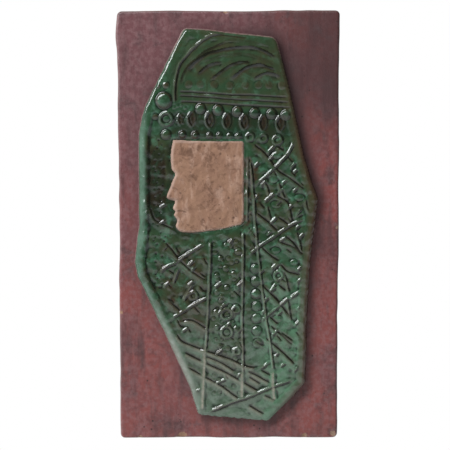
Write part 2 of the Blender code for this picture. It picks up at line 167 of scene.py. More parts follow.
class FaceSizes(bpy.types.PropertyGroup):
    rise: length("Rise", 0.0018, "How far the face stands in front of the carved field")
    bevel: length("Bevel", 0.0022, "Width of the sloping edge around the face")
    feature_rise: length("Feature rise", 0.0006, "Height of brow, eyelid and nostril")
    mesh_step: length("Mesh step", 0.0005, "Spacing of the face's mesh", 0.0002)
    pit_depth: length("Pit depth", 0.0004, "Depth of the small pits in the clay")


class Finishes(bpy.types.PropertyGroup):
    engobe: colour("Engobe", (0.155, 0.062, 0.066), "Burgundy-brown coat of the slab")
    engobe_red: colour("Red engobe", (0.262, 0.066, 0.056), "Where the coat turns redder")
    engobe_pale: colour("Pale engobe", (0.30, 0.17, 0.17), "Where the coat is rubbed thin")
    # also the colour of the painted shadow around the figure and of the painted shade at the top right
    engobe_dark_and_shade: colour("Dark engobe", (0.070, 0.036, 0.036), "Where the coat is thick or burnt")
    engobe_pit: colour("Engobe pits", (0.03, 0.016, 0.014), "Small pits in the coat")
    engobe_brim: colour("Engobe brim", (0.30, 0.19, 0.16), "Rubbed edge of the slab")
    glaze: colour("Green glaze", (0.026, 0.070, 0.033), "Bottle green of the open glaze")
    # partly the glaze's own patchiness, partly painted reflection
    glaze_bright_sheen: colour("Bright glaze", (0.075, 0.185, 0.112), "Bluish patches in the open glaze")
    # pooled glaze, and also painted shade on the lee flanks of raised lines and between the petals
    glaze_pool_and_shade: colour("Pooled glaze", (0.006, 0.008, 0.005), "Where the glaze has run together")
    # brown of thin glaze, and also painted shade beside the raised lines and on the headdress's soft folds
    glaze_break_and_shade: colour("Broken glaze", (0.052, 0.028, 0.016), "Brown where the glaze runs thin")
    glaze_olive: colour("Olive glaze", (0.050, 0.052, 0.024), "Olive patches in the open glaze")
    # paler towards the foot: partly milky glaze, partly painted reflection of the floor
    glaze_milky_sheen: colour("Milky glaze", (0.130, 0.182, 0.130), "Paler glaze towards the foot")
    glaze_fresh: colour("Fresh glaze", (0.10, 0.215, 0.125), "Clear green low on the right")
    # painted highlight: crests and lit flanks of the raised lines, paler still towards the foot as painted
    # reflection
    crest: colour("Crests", (0.17, 0.18, 0.13), "Worn tops of the raised lines")
    crest_milky_sheen: colour("Milky crests", (0.34, 0.32, 0.25), "The same towards the foot")
    # painted shade in part: the right margin lies on the side away from the light; towards the foot it is
    # paler, partly painted reflection
    margin_shaded_olive: colour("Right margin", (0.068, 0.058, 0.030), "Plain margin along the right side")
    margin_milky_sheen: colour("Low right margin", (0.088, 0.090, 0.056), "The same towards the foot")
    # painted light in part: the left rim's turquoise and its whitish foot stand for light mirrored on the
    # lit side, over thin glaze
    rim_lit_turquoise: colour("Left rim", (0.090, 0.172, 0.112), "Thin glaze on the left rim")
    rim_milky_sheen: colour("Low left rim", (0.29, 0.285, 0.245), "The same towards the foot")
    # painted shade in part: brown on the right edge, the side away from the light, over thin glaze
    rim_shaded_brown: colour("Right edge", (0.085, 0.052, 0.030), "Thin glaze on the right edge")
    # painted highlight in part: pale lines along the lit top and left edges, over clay showing through thin
    # glaze
    top_line_highlight: colour("Top edge line", (0.34, 0.22, 0.20), "Clay that shows through the top edge")
    left_line_highlight: colour("Left edge line", (0.34, 0.22, 0.22), "Clay that shows through the left edge")
    clay: colour("Bare clay", (0.325, 0.180, 0.110), "Unglazed buff clay of the face and the back")
    clay_pale: colour("Pale clay", (0.46, 0.29, 0.21), "Rubbed places in the face")
    clay_cloud: colour("Clouded clay", (0.29, 0.155, 0.098), "Soft darker clouds in the face")
    clay_mottle: colour("Mottled clay", (0.22, 0.115, 0.072), "Small darker patches in the face")
    clay_stain: colour("Clay stain", (0.165, 0.082, 0.048), "Brown stains on the face")
    clay_speck: colour("Clay speck", (0.13, 0.065, 0.040), "Brown specks in the face")
    clay_brim: colour("Clay brim", (0.52, 0.38, 0.32), "Rubbed edge of the face")
    back_mottle: colour("Mottled back", (0.24, 0.145, 0.098), "Small darker patches in the back")
    back_pale: colour("Pale back", (0.40, 0.27, 0.20), "Dusty places on the back")
    back_streak: colour("Streaked back", (0.19, 0.105, 0.068), "Streaks on the back")
    floor: colour("Floor", (0.80, 0.80, 0.80), "Plain pale floor")


def soft_noise(x, z, spacing, seed):
    """Smooth random values from -1 to 1, with one hill or hollow in each square of the spacing.

    The squares are turned by the seed, so that layers of noise don't line up with each other or the slab.
    """
    reach = 500.0
    turn = 1.1 * seed
    x, z = x * math.cos(turn) + z * math.sin(turn), z * math.cos(turn) - x * math.sin(turn)
    count = int(2 * reach / spacing) + 2
    table = np.random.default_rng(seed).uniform(-1, 1, (count, count))
    across, up = (x + reach) / spacing, (z + reach) / spacing
    i, j = np.floor(across).astype(int), np.floor(up).astype(int)
    s, t = across - i, up - j
    s, t = s * s * (3 - 2 * s), t * t * (3 - 2 * t)
    low = table[i, j] * (1 - s) + table[i + 1, j] * s
    high = table[i, j + 1] * (1 - s) + table[i + 1, j + 1] * s
    return low * (1 - t) + high * t


def layered_noise(x, z, *layers):
    """Soft noise in layers, each with its strength, spacing and seed."""
    return sum(strength * soft_noise(x, z, spacing, seed) for strength, spacing, seed in layers)


def smooth_step(value, low, high):
    """0 below low, 1 above high, and a smooth run between them."""
    share = np.clip((value - low) / (high - low), 0, 1)
    return share * share * (3 - 2 * share)


def blurred(heights, reach):
    """A grid of heights softened over the reach, counted in grid steps."""
    span = int(math.ceil(3 * reach))
    weights = np.exp(-0.5 * (np.arange(-span, span + 1) / reach) ** 2)
    weights /= weights.sum()
    for axis in (0, 1):
        padding = [(span, span) if axis == side else (0, 0) for side in (0, 1)]
        padded = np.pad(heights, padding, mode="edge")
        size = heights.shape[axis]
        runs = [np.take(padded, range(start, start + size), axis) for start in range(2 * span + 1)]
        heights = sum(weight * run for weight, run in zip(weights, runs))
    return heights


def smooth_line(points, spacing, closed=False):
    """A curve through points, cut into runs of about the spacing."""
    points = np.asarray(points, float)
    if closed:
        ends = np.vstack([points[-1:], points, points[:2]])
    elif len(points) < 3:
        return points
    else:
        ends = np.vstack([2 * points[0] - points[1], points, 2 * points[-1] - points[-2]])
    curve = [ends[1]]
    for a, b, c, d in zip(ends, ends[1:], ends[2:], ends[3:]):
        count = max(1, round(np.linalg.norm(c - b) / spacing))
        for number in range(1, count + 1):
            t = number / count
            bend = (2 * a - 5 * b + 4 * c - d) * t**2 + (3 * b - a - 3 * c + d) * t**3
            curve.append((2 * b + (c - a) * t + bend) / 2)
    return np.array(curve[:-1] if closed else curve)


def rounded(corners, arc_steps=8):
    """A closed outline, clockwise, with each corner (x, z, radius) rounded."""
    places = np.array([corner[:2] for corner in corners], float)
    points = []
    for index, corner in enumerate(places):
        radius = corners[index][2]
        back = places[index - 1] - corner
        ahead = places[(index + 1) % len(places)] - corner
        back, ahead = back / np.linalg.norm(back), ahead / np.linalg.norm(ahead)
        if radius <= 0:
            points.append(corner)
            continue
        half_angle = math.acos(np.clip(back @ ahead, -1, 1)) / 2
        middle = (back + ahead) / np.linalg.norm(back + ahead)
        centre = corner + middle * radius / math.sin(half_angle)
        reach = radius / math.tan(half_angle)
        start, end = corner + back * reach - centre, corner + ahead * reach - centre
        turn = math.pi - 2 * half_angle
        for share in np.linspace(0, 1, arc_steps + 1):
            from_start = math.sin((1 - share) * turn) / math.sin(turn)
            from_end = math.sin(share * turn) / math.sin(turn)
            points.append(centre + from_start * start + from_end * end)
    return np.array(points)


def rounded_box(left, foot, right, top, radius):
    """The outline of a rectangle with round corners, clockwise."""
    return rounded([(x, z, radius) for x, z in ((left, top), (right, top), (right, foot), (left, foot))])


def signed_depth(x, z, outline):
    """How far inside a closed outline each place lies, and below 0 outside it."""
    nearest = np.full(x.shape, np.inf)
    inside = np.zeros(x.shape, bool)
    for (x0, z0), (x1, z1) in zip(outline, np.roll(outline, -1, axis=0)):
        run_x, run_z = x1 - x0, z1 - z0
        share = np.clip(((x - x0) * run_x + (z - z0) * run_z) / (run_x**2 + run_z**2), 0, 1)
        gap = (x - x0 - share * run_x) ** 2 + (z - z0 - share * run_z) ** 2
        nearest = np.minimum(nearest, gap)
        if z0 != z1:
            level = (z < z0) != (z < z1)
            inside ^= level & (x < x0 + (z - z0) * run_x / run_z)
    return np.where(inside, 1.0, -1.0) * np.sqrt(nearest)


def along_line(places, line):
    """Drawn places across, each with its height on a straight line."""
    (x0, z0), (x1, z1) = line
    return [(x, z0 + (x - x0) * (z1 - z0) / (x1 - x0)) for x in places]


class Drawing:
    """Where the figure's drawing lies on the slab."""

    left, right = -88.0, 83.0
    foot, top = 17.5, 385.0
    outline = [
        (-41.2, 385.0, 5.5), (44.5, 375.8, 8.0), (55.0, 334.0, 30.0), (69.8, 268.5, 30.0),
        (77.5, 243.0, 20.0), (83.0, 227.0, 6.0), (75.4, 158.0, 40.0), (73.0, 110.0, 0.0),
        (72.2, 53.5, 5.0), (37.0, 17.5, 6.5), (-29.5, 23.3, 5.5), (-36.5, 47.0, 20.0),
        (-60.5, 101.0, 0.0), (-85.6, 154.0, 7.0), (-88.0, 168.0, 4.0), (-84.0, 200.0, 30.0),
        (-83.7, 287.0, 14.0), (-77.3, 313.5, 14.0),
    ]

    def __init__(self, slab, figure):
        self.slab, self.figure = slab, figure
        across = slab.width - figure.left_margin - figure.right_margin
        up = slab.height - figure.top_margin - figure.foot_margin
        self.across = across / (self.right - self.left)
        self.up = up / (self.top - self.foot)

    def place(self, x, z, height):
        """Places in the drawing and heights above the slab's face, in metres."""
        slab_left, slab_foot = -self.slab.width / 2, LOW.z
        return np.stack([
            slab_left + self.figure.left_margin + (x - self.left) * self.across,
            -self.slab.thickness - height * MM,
            slab_foot + self.figure.foot_margin + (z - self.foot) * self.up,
        ], axis=-1)


class Relief:
    """A height map over part of the drawing, which raised forms are pressed into."""

    union_power = 4
    curve_spacing = 1.5
    taper = 3.0
    end_share = 0.3
    skirt_reach = 8.0
    soft_side = (-0.9, 0.4)
    groove_place, groove_reach = 0.8, 0.80
    full_groove = 0.5
    # the brown band beside each line is partly painted shade
    stain_place, stain_reach = 0.5, 2.6
    unevenness = [(0.18, 12, 3), (0.10, 5, 4)]
    moat_place, moat_width, moat_reach = 0.5, 0.7, 2.5
    ring_width_share, ring_bead_share, ring_bead_rise_share = 1.3, 0.55, 0.45
    ring_style = {"lean": 0.6, "skirt": 0, "groove": 0.4, "brown": 0.2, "pale": 0.2}
    petal_width_share, petal_hollow_share, petal_pale = 0.85, 0.9, 0.3
    petal_strengths = ((-1, 1.0), (1, 0.4))
    petal_style = {"taper": 2.5, "lean": 0.6, "skirt": 0, "groove": 0.4}
    spine_share, spine_lean, spine_rise_share = 0.5, 0.4, 0.4

    def __init__(self, left, foot, right, top, step, wobble):
        self.step = step
        self.across = np.arange(left, right + step, step)
        self.up = np.arange(foot, top + step, step)
        self.x, self.z = np.meshgrid(self.across, self.up, indexing="ij")
        stray_x, stray_z = (
            wobble * layered_noise(self.x, self.z, (1.0, 17, seed), (0.5, 7, seed + 9)) for seed in (1, 2)
        )
        self.drawn_x, self.drawn_z = self.x + stray_x, self.z + stray_z
        self.uneven = 1 + layered_noise(self.x, self.z, *self.unevenness)
        # dark holds pooled glaze in grooves and pits and painted shade on lee flanks; brown holds brown
        # glaze and painted shade; pale holds painted highlight
        self.powers, self.hollows, self.brown, self.dark, self.pale = np.zeros((5, *self.x.shape))

    def window(self, x0, z0, x1, z1, reach):
        """The part of the grid within reach of a box."""
        columns = np.searchsorted(self.across, (min(x0, x1) - reach, max(x0, x1) + reach))
        rows = np.searchsorted(self.up, (min(z0, z1) - reach, max(z0, z1) + reach))
        return slice(*columns), slice(*rows)

    def press(self, part, heights):
        """Joins raised heights to those that are there already, with a soft valley between them."""
        self.powers[part] += np.clip(heights * self.uneven[part], 0, None) ** self.union_power

    def mark(self, trait, part, values):
        """Keeps the larger of a trait's old and new values."""
        trait[part] = np.maximum(trait[part], values)

    def heights(self):
        return self.powers ** (1 / self.union_power) - self.hollows

    def follow(self, line, reach, soft_side):
        """The grid near a line, with each point's distance, its run along the line, and its side of it."""
        lengths = np.linalg.norm(np.diff(line, axis=0), axis=1)
        starts = np.concatenate([[0], np.cumsum(lengths)])
        whole = self.window(*line.min(0), *line.max(0), reach)
        nearest = np.full(self.x[whole].shape, np.inf)
        run_at, side = np.zeros(nearest.shape), np.zeros(nearest.shape)
        corner = (whole[0].start, whole[1].start)
        for (x0, z0), (x1, z1), start, run in zip(line, line[1:], starts, lengths):
            part = self.window(x0, z0, x1, z1, reach)
            local = tuple(slice(p.start - c, p.stop - c) for p, c in zip(part, corner))
            x, z = self.drawn_x[part] - x0, self.drawn_z[part] - z0
            share = np.clip((x * (x1 - x0) + z * (z1 - z0)) / run**2, 0, 1)
            gap = np.hypot(x - share * (x1 - x0), z - share * (z1 - z0))
            across = (x * (z1 - z0) - z * (x1 - x0)) / run
            facing = across * (soft_side[0] * (z1 - z0) - soft_side[1] * (x1 - x0)) / run
            closer = gap < nearest[local]
            nearest[local] = np.where(closer, gap, nearest[local])
            run_at[local] = np.where(closer, start + share * run, run_at[local])
            side[local] = np.where(closer, facing / np.maximum(np.abs(across), 0.01), side[local])
        return whole, nearest, np.minimum(run_at, starts[-1] - run_at), side

    def stroke(
        self, points, width, rise, closed=False, taper=None, lean=0.7, soft_side=None, skirt=0.3,
        groove=0.5, brown=0.65, shade=0.0, pale=0.35, over=0.0, roundness=0.45,
    ):
        """A raised line with a soft flank, and a steep flank that falls into a narrow groove.

        Lean is the soft flank's share of the width, skirt the share of the rise that spreads beyond it, and
        over how far the line closes the grooves that it runs across.
        """
        line = smooth_line(points, self.curve_spacing, closed)
        if closed:
            line = np.vstack([line, line[:1]])
        reach = max(width, self.skirt_reach)
        whole, nearest, to_end, side = self.follow(line, reach, soft_side or self.soft_side)
        ending = 1.0 if closed else smooth_step(to_end, 0, self.taper if taper is None else taper)
        lee = 1 - smooth_step(side, -0.35, 0.35)
        flank = np.clip(1 - nearest / (width * (lean + (1 - 2 * lean) * lee)), 0, 1)
        section = (1 - skirt) * (flank + roundness * flank * (1 - flank))
        section += skirt * np.clip(1 - nearest / self.skirt_reach, 0, 1) ** 2
        self.press(whole, rise * section * (self.end_share + (1 - self.end_share) * ending))

        left_open = 1 - over * smooth_step(flank, 0, 0.4) * ending
        for trait in (self.hollows, self.dark, self.brown):
            trait[whole] *= left_open
        lee_width = width * (1 - lean)
        cut = np.exp(-((nearest - lee_width * self.groove_place) / self.groove_reach) ** 2) * lee * ending
        self.mark(self.hollows, whole, groove * cut)
        self.mark(self.dark, whole, cut * min(1, groove / self.full_groove))
        # a brown band beside the line, mostly on its lee side: partly glaze breaking brown, partly painted
        # shade
        beyond = np.maximum(nearest - lee_width * self.stain_place, 0)
        beside = np.exp(-(beyond / self.stain_reach) ** 2) * (0.3 + 0.7 * lee) * ending
        self.mark(self.brown, whole, brown * beside)
        # painted shade: the lee flank, which faces away from the light, is darkened like pooled glaze
        self.mark(self.dark, whole, shade * lee * smooth_step(flank, 0, 0.5) * ending)
        # painted highlight: the crest and the lit flank are painted pale, the lee flank is left out
        crest = smooth_step(flank, 0.35, 0.9) * (1 - lee * smooth_step(1 - flank, 0.05, 0.3)) * ending
        self.mark(self.pale, whole, pale * crest)

    def dome(self, x, z, half_across, half_up, rise, moat=0.3, brown=0.0):
        """A round or oval swelling, with a shallow moat around it."""
        reach = self.moat_reach
        part = self.window(x - half_across, z - half_up, x + half_across, z + half_up, reach)
        out = np.hypot((self.drawn_x[part] - x) / half_across, (self.drawn_z[part] - z) / half_up)
        self.press(part, rise * np.sqrt(np.clip(1 - out**2, 0, 1)))
        beyond = (out - 1) * min(half_across, half_up)
        self.mark(self.hollows, part, moat * np.exp(-((beyond - self.moat_place) / self.moat_width) ** 2))
        self.mark(self.brown, part, brown * (1 - smooth_step(out, 0.8, 1.15)))

    def bead(self, x, z, size, rise, moat=0.3, brown=0.0):
        self.dome(x, z, size / 2, size / 2, rise, moat, brown)

    def pit(self, x, z, size, depth):
        """A small round hollow."""
        part = self.window(x, z, x, z, size)
        out = np.hypot(self.drawn_x[part] - x, self.drawn_z[part] - z) / size * 2
        dip = np.clip(1 - out**2, 0, 1)
        self.mark(self.hollows, part, depth * dip)
        self.mark(self.dark, part, dip)

    def ring(self, x, z, size, line_width, rise):
        """A raised ring around a low bead."""
        turn = np.linspace(0, 2 * math.pi, 16, endpoint=False)
        half = size / 2
        circle = np.stack([x + half * np.cos(turn), z + half * np.sin(turn)], axis=1)
        self.stroke(circle, line_width * self.ring_width_share, rise, closed=True, **self.ring_style)
        self.bead(x, z, size * self.ring_bead_share, rise * self.ring_bead_rise_share, moat=0.15)

    def petal(self, x, z, size, line_width, rise):
        """A pointed oval: two bowed raised lines around a brown hollow with a low spine."""
        half_across, half_up = size[0] / 2, size[1] / 2
        share = np.linspace(-1, 1, 9)
        bow = half_across * np.cos(share * math.pi / 2) ** 0.8
        self.dome(x, z, half_across, half_up * self.petal_hollow_share, 0, moat=0, brown=1.0)
        for side, strength in self.petal_strengths:
            sweep = np.stack([x + side * bow, z + share * half_up], axis=1)
            width, pale = line_width * self.petal_width_share, self.petal_pale * strength
            self.stroke(sweep, width, rise * strength, pale=pale, **self.petal_style)
        half_spine = half_up * self.spine_share
        spine = [(x, z - half_spine), (x + self.spine_lean, z + half_spine)]
        self.stroke(spine, line_width, rise * self.spine_rise_share, skirt=0, groove=0.2, pale=0)


class Headdress:
    """A strong arc over softer ones, three brow bands, and rows of beads and pointed petals."""

    edge = [
        (-50, 316), (-49.8, 330), (-46.7, 347.4), (-41.3, 355.7), (-34.4, 363.3), (-26, 370.8),
        (-18.4, 375.8), (-10.7, 378.4), (-3, 378.6), (18, 376.5),
    ]
    edge_rise_share = 0.7
    edge_style = {
        "lean": 0.4, "soft_side": (-0.6, 0.8), "groove": 0.5, "brown": 0.8, "shade": 0.5, "pale": 0.6,
    }
    arcs = [
        (
            [(-40, 343), (-33, 352), (-20, 361), (-7.7, 364.5), (10.6, 367.5), (28.9, 365.8), (46, 356.5)],
            1.0,
        ),
        ([(-31.5, 339.5), (-24.6, 346.9), (-18.4, 350.7), (-10.8, 353.1), (-3, 353.7)], 0.9),
        ([(-19, 336.5), (-4.7, 347), (4.5, 352.1), (13.6, 354), (24, 352)], 0.9),
        ([(0, 337), (13.6, 347.5), (22.8, 351), (32, 351), (45, 345)], 1.1),
        ([(19.7, 336.3), (27.4, 341.4), (35, 343.7), (43.4, 341.9), (51.1, 337)], 0.9),
        ([(-26, 353), (-3, 360.2), (19.8, 360.3), (35, 355), (46.5, 347.5)], 0.45),
        ([(-45.5, 330.7), (-43.3, 340.5), (-38.3, 348.9), (-30.7, 355.7), (-21.5, 363.2), (0, 373)], 0.75),
        ([(-3, 373.5), (20, 372.5), (42, 366)], 0.4),
    ]
    arc_shade = 0.8
    arc_style = {"taper": 7, "lean": 0.5, "soft_side": (-0.45, 0.9), "skirt": 0, "groove": 0.1, "pale": 0}
    bands = [
        ([(-46, 327), (54, 321.5)], 0.7), ([(-46, 323.3), (56, 316.8)], 1.0),
        ([(-45, 318), (58, 312)], 1.0),
    ]
    band_width_share, band_rise_share = 1.15, 0.35
    band_style = {"skirt": 0, "lean": 0.5, "groove": 0.6, "brown": 0.7, "shade": 0.5, "pale": 0.1}
    flat_beads = along_line(
        [-36.6, -25.9, -13.3, 1.0, 15.5, 27.4, 37.2, 48.8], ((-36.6, 332.5), (48.8, 331.0))
    )
    flat_bead_size = 7.2
    petals = along_line([-33.6, -17.5, -1.5, 14.4, 31.7, 47.6], ((-33.6, 301.1), (47.6, 296.6)))
    petal_size = (7.0, 15.5)
    narrow_petal = (-44.2, 300.8)
    narrow_petal_size = (4.0, 11.0)
    upper_beads = along_line([-25.9, -9.8, 7.5, 23.7, 39.4, 52.2], ((-25.9, 310.2), (52.2, 304.2)))
    upper_bead_size = 8.8
    lower_beads = along_line([-42.8, -30.9, -18.0, -8.5, 1.2, 8.8], ((-42.8, 286.6), (8.8, 285.1)))
    lower_bead_size = 6.6
    full_lower_beads, small_bead_share = 2, 0.6
    temple_beads = [
        (-59.6, 317.5, 14.2, 1.4), (-57.8, 286.6, 8.6, 1.0), (-57.5, 331.5, 6.0, 0.35),
        (-65.5, 331.0, 5.0, 0.3), (-67.5, 303.0, 5.0, 0.3),
    ]
    temple_rings = [(-57.0, 300.8, 11.5), (19.7, 283.9, 6.5), (32.2, 283.2, 6.5), (45.3, 281.0, 7.5)]
    studs = (-50.0, 292.0, -40.0, 316.0)
    stud_count = 9
    stud_gap, stud_size, stud_rise = 3.2, 2.8, 0.6


class Cloak:
    """Long hems that run down, folds that rise and fall across them, beads and rings."""

    hems = [
        ([(14.0, 197), (13.0, 150), (13.0, 64)], 1.0),
        ([(19.5, 262), (22, 240), (25, 204), (29, 160), (34.4, 118), (38.2, 96.5), (41.3, 66)], 1.0),
        ([(-16.6, 188), (-17.6, 153), (-19.2, 122), (-21.5, 86)], 1.0),
        ([(17.8, 266), (17.3, 205)], 0.7),
    ]
    hem_width_share, hem_rise_share, hem_pale = 1.2, 1.3, 0.85
    hem_style = {"lean": 0.6, "skirt": 0.1, "groove": 0.8, "brown": 0.3, "over": 0.7}
    hem_tails = [[(-21.5, 88), (-24.6, 29)], [(13, 66), (13, 40)], [(41.3, 66), (43, 38)]]
    tail_width_share, tail_rise_share = 2.7, 0.8
    tail_style = {"lean": 0.7, "skirt": 0, "groove": 0.15, "brown": 0, "pale": 1.0, "over": 0.9}
    strong_folds = [
        [(25, 240), (43.3, 256.7), (55, 269), (61.7, 282)],
        [(17.5, 174), (32.5, 186), (58.3, 203), (70, 209)],
        [(-64.5, 158), (-56.4, 165), (-48.9, 168.3), (-36, 177), (-22.5, 186)],
        [(-20, 27.3), (14.3, 40), (43, 51.7), (60, 57.8)],
        [(27, 68), (33, 70), (38, 75)],
    ]
    strong_rise_share = 1.3
    strong_style = {"lean": 0.58, "groove": 0.8, "taper": 7, "pale": 0.25, "over": 1.0, "roundness": 0.1}
    hem_folds = [
        (
            [(-50, 101), (-45.8, 94.6), (-38, 89.8), (-20.9, 84.2), (-3.7, 77.6), (13.4, 70.4), (25, 68)],
            1.0,
        ),
        ([(-42, 82.6), (-22.5, 73), (-0.6, 62), (27, 46.3)], 1.0),
        ([(-43, 70.6), (-21, 58.4), (-10, 52), (9, 38.5)], 0.8),
        ([(-21.7, 79.5), (-8.4, 73), (5, 64.4)], 0.6),
        ([(16.5, 65.5), (38.4, 54)], 0.7), ([(18, 60), (30, 52.5)], 0.6), ([(17.5, 33), (33, 24)], 0.8),
        ([(32, 43), (43, 37.2)], 0.6), ([(-44, 112), (-33.5, 112.5), (-20, 104)], 0.8),
    ]
    hem_fold_rise_share = 0.8
    hem_fold_style = {
        "lean": 0.82, "soft_side": (-0.8, -0.6), "skirt": 0.1, "groove": 0.9, "brown": 0.9, "pale": 0.5,
    }
    rising_folds = [
        [(36, 269), (43, 276)], [(57, 255), (62, 261)], [(59, 233), (65, 239)], [(33, 224), (43, 232.5)],
        [(62, 211), (67, 218)], [(38, 204), (45, 210)], [(65, 190), (70, 196)],
        [(39.6, 161.1), (42.1, 164.8), (47.5, 167.8)], [(38, 140), (44, 148.5)],
        [(63.6, 146.2), (65, 150.8), (69, 153)], [(31, 113.5), (47, 127), (56, 135)],
        [(57, 134), (66, 141)], [(40, 98), (46, 104.5)], [(43, 78.5), (47.5, 84)],
        [(-52, 116), (-33, 128), (-19, 135.5)], [(-60.5, 145), (-55, 150)], [(-44, 102.5), (-37, 107)],
        [(-64, 218.5), (-57.5, 223)], [(-64, 204), (-58, 207.5)], [(-13, 53.5), (-3, 58)],
        [(-32, 46.5), (-25, 49)], [(-12, 30), (-4, 34)], [(-34.4, 159.1), (-31.7, 164.2)],
        [(-7.4, 123.7), (-5.4, 127.1), (-1.9, 129.8)],
    ]
    rising_width_share, rising_rise_share = 1.15, 1.75
    rising_style = {"lean": 0.62, "taper": 2, "groove": 0.7, "pale": 0.3, "over": 0.7, "roundness": 0.1}
    falling_folds = [
        [(22.5, 277), (35, 266), (45, 253), (58.3, 244), (70, 235)], [(44, 274.6), (51, 270)],
        [(44, 229), (54, 223), (58.3, 206)], [(25, 214), (38.3, 203), (45, 196)],
        [(45, 209), (56, 201.5)], [(43.9, 188.1), (51.1, 184.3), (60.4, 181), (68, 173.5)],
        [(51.1, 192.2), (59.4, 184.9), (69, 173.5)], [(29.5, 182), (36.2, 175.6), (47, 167.8)],
        [(56.6, 252.6), (62.5, 246)], [(61.3, 225.4), (65, 222.3)],
        [(46.7, 166), (55, 158.5), (66.7, 155)], [(27.5, 148), (40, 136.7), (58.3, 115)],
        [(45, 146.7), (53.3, 140)], [(36.7, 116.7), (46.7, 108)], [(47.5, 101.7), (60, 92.5)],
        [(33.5, 96.5), (47.4, 84.8), (61.4, 70.8)], [(38, 108), (59, 89.5)],
        [(-60, 186), (-48, 172), (-36, 160), (-22, 151)], [(-58, 134), (-52, 127.5), (-45, 121)],
        [(-74, 219), (-70, 208), (-62, 203), (-52, 198.5)],
    ]
    falling_style = {
        "lean": 0.82, "soft_side": (-0.9, -0.4), "skirt": 0.1, "groove": 0.9, "brown": 0.95, "pale": 0.2,
    }
    steep_folds = [
        [(31.5, 243.5), (35.1, 238.3), (37.4, 229.1)], [(45.9, 242.4), (49, 233), (52.1, 226.5)],
        [(35, 221), (39, 207)], [(61.9, 196.5), (65.1, 187.2), (67.7, 176.8)],
        [(71, 226.7), (72.2, 218.7), (74.7, 214)], [(50.2, 161.1), (53.3, 150.9), (55.6, 139.2)],
        [(54.5, 133), (58, 112)], [(-46, 163), (-51.5, 148)], [(-33, 148), (-38, 140), (-42, 131)],
    ]
    steep_width_share = 1.4
    steep_style = {"lean": 0.7, "skirt": 0.1, "groove": 0.8, "brown": 0.8, "pale": 0.6}
    hem_bead_line = ((24.5, 162.0), (26.5, 92.5))
    hem_bead_count = 7
    hem_bead_size = 8.4
    hem_bead_rise_share = 0.7
    beads = [
        (9.0, 178, 7.5), (7.5, 144, 7), (-8, 172, 5), (-3, 163, 6), (-11, 156, 5), (4, 158, 5),
        (-11, 141, 5), (-2, 145, 5), (-7, 133, 5), (-12, 122, 5), (-11, 108, 5), (7, 106, 6), (-9, 90, 5),
    ]
    bead_size_share, bead_rise_share = 0.85, 0.45
    bosses = [
        (44.3, 267.5, 9.0), (41.3, 245.0, 8.5), (43.9, 222.0, 9.0), (65.4, 228.7, 9.0), (43.5, 179.5, 8.0),
        (45, 115, 9.0), (46, 95, 8.5), (61, 168, 7.0),
    ]
    boss_height_share = 0.68
    rings = [
        (-1.5, 119.5, 10.0), (-1.5, 102.3, 10.5), (7.5, 84, 6), (7.5, 124, 6.5), (-32.5, 137, 7),
        (46.5, 156, 7.5),
    ]
    column = (-15.0, 44.0, 12.0, 190.0)
    column_dots, dot_gap = 60, 4.2
    dot_sizes, dot_rises = (2.2, 4.4), (0.15, 0.5)
    cheek_field = (-70.0, 142.0, -59.0, 284.0)
    cheek_pits, pit_gap = 46, 3.6
    pit_sizes, pit_depths = (2.0, 3.4), (0.4, 0.8)
    hatched = [
        ((23.0, 58.0, 68.0, 272.0), 40), ((-62.0, 98.0, -22.0, 188.0), 18),
        ((-15.0, 60.0, 12.0, 190.0), 14),
    ]
    mark_gap = 10.0
    rising_share = 0.5
    rising_turns, rising_halves, rising_mark_rises = (33, 52), (2.8, 4.5), (1.3, 1.8)
    rising_mark_style = {**rising_style, "skirt": 0.1}
    falling_turns, falling_halves = (115, 150), (3.0, 6.0)
    falling_widths, falling_mark_rises = (3.5, 5.5), (0.5, 0.9)
    falling_mark_style = {
        "taper": 3, "skirt": 0, "lean": 0.8, "soft_side": (-0.9, 0.1), "groove": 0.6, "brown": 0.8,
        "shade": 0.3, "pale": 0.2,
    }
    cross_marks = along_line([17.5, 18.0, 18.6, 19.2, 19.9, 20.6], ((17.5, 252), (20.6, 182)))
    cross_half, cross_width, cross_rise = (2, 2.5), 2.2, 0.5
    cross_style = {"taper": 1, "skirt": 0, "groove": 0.3}


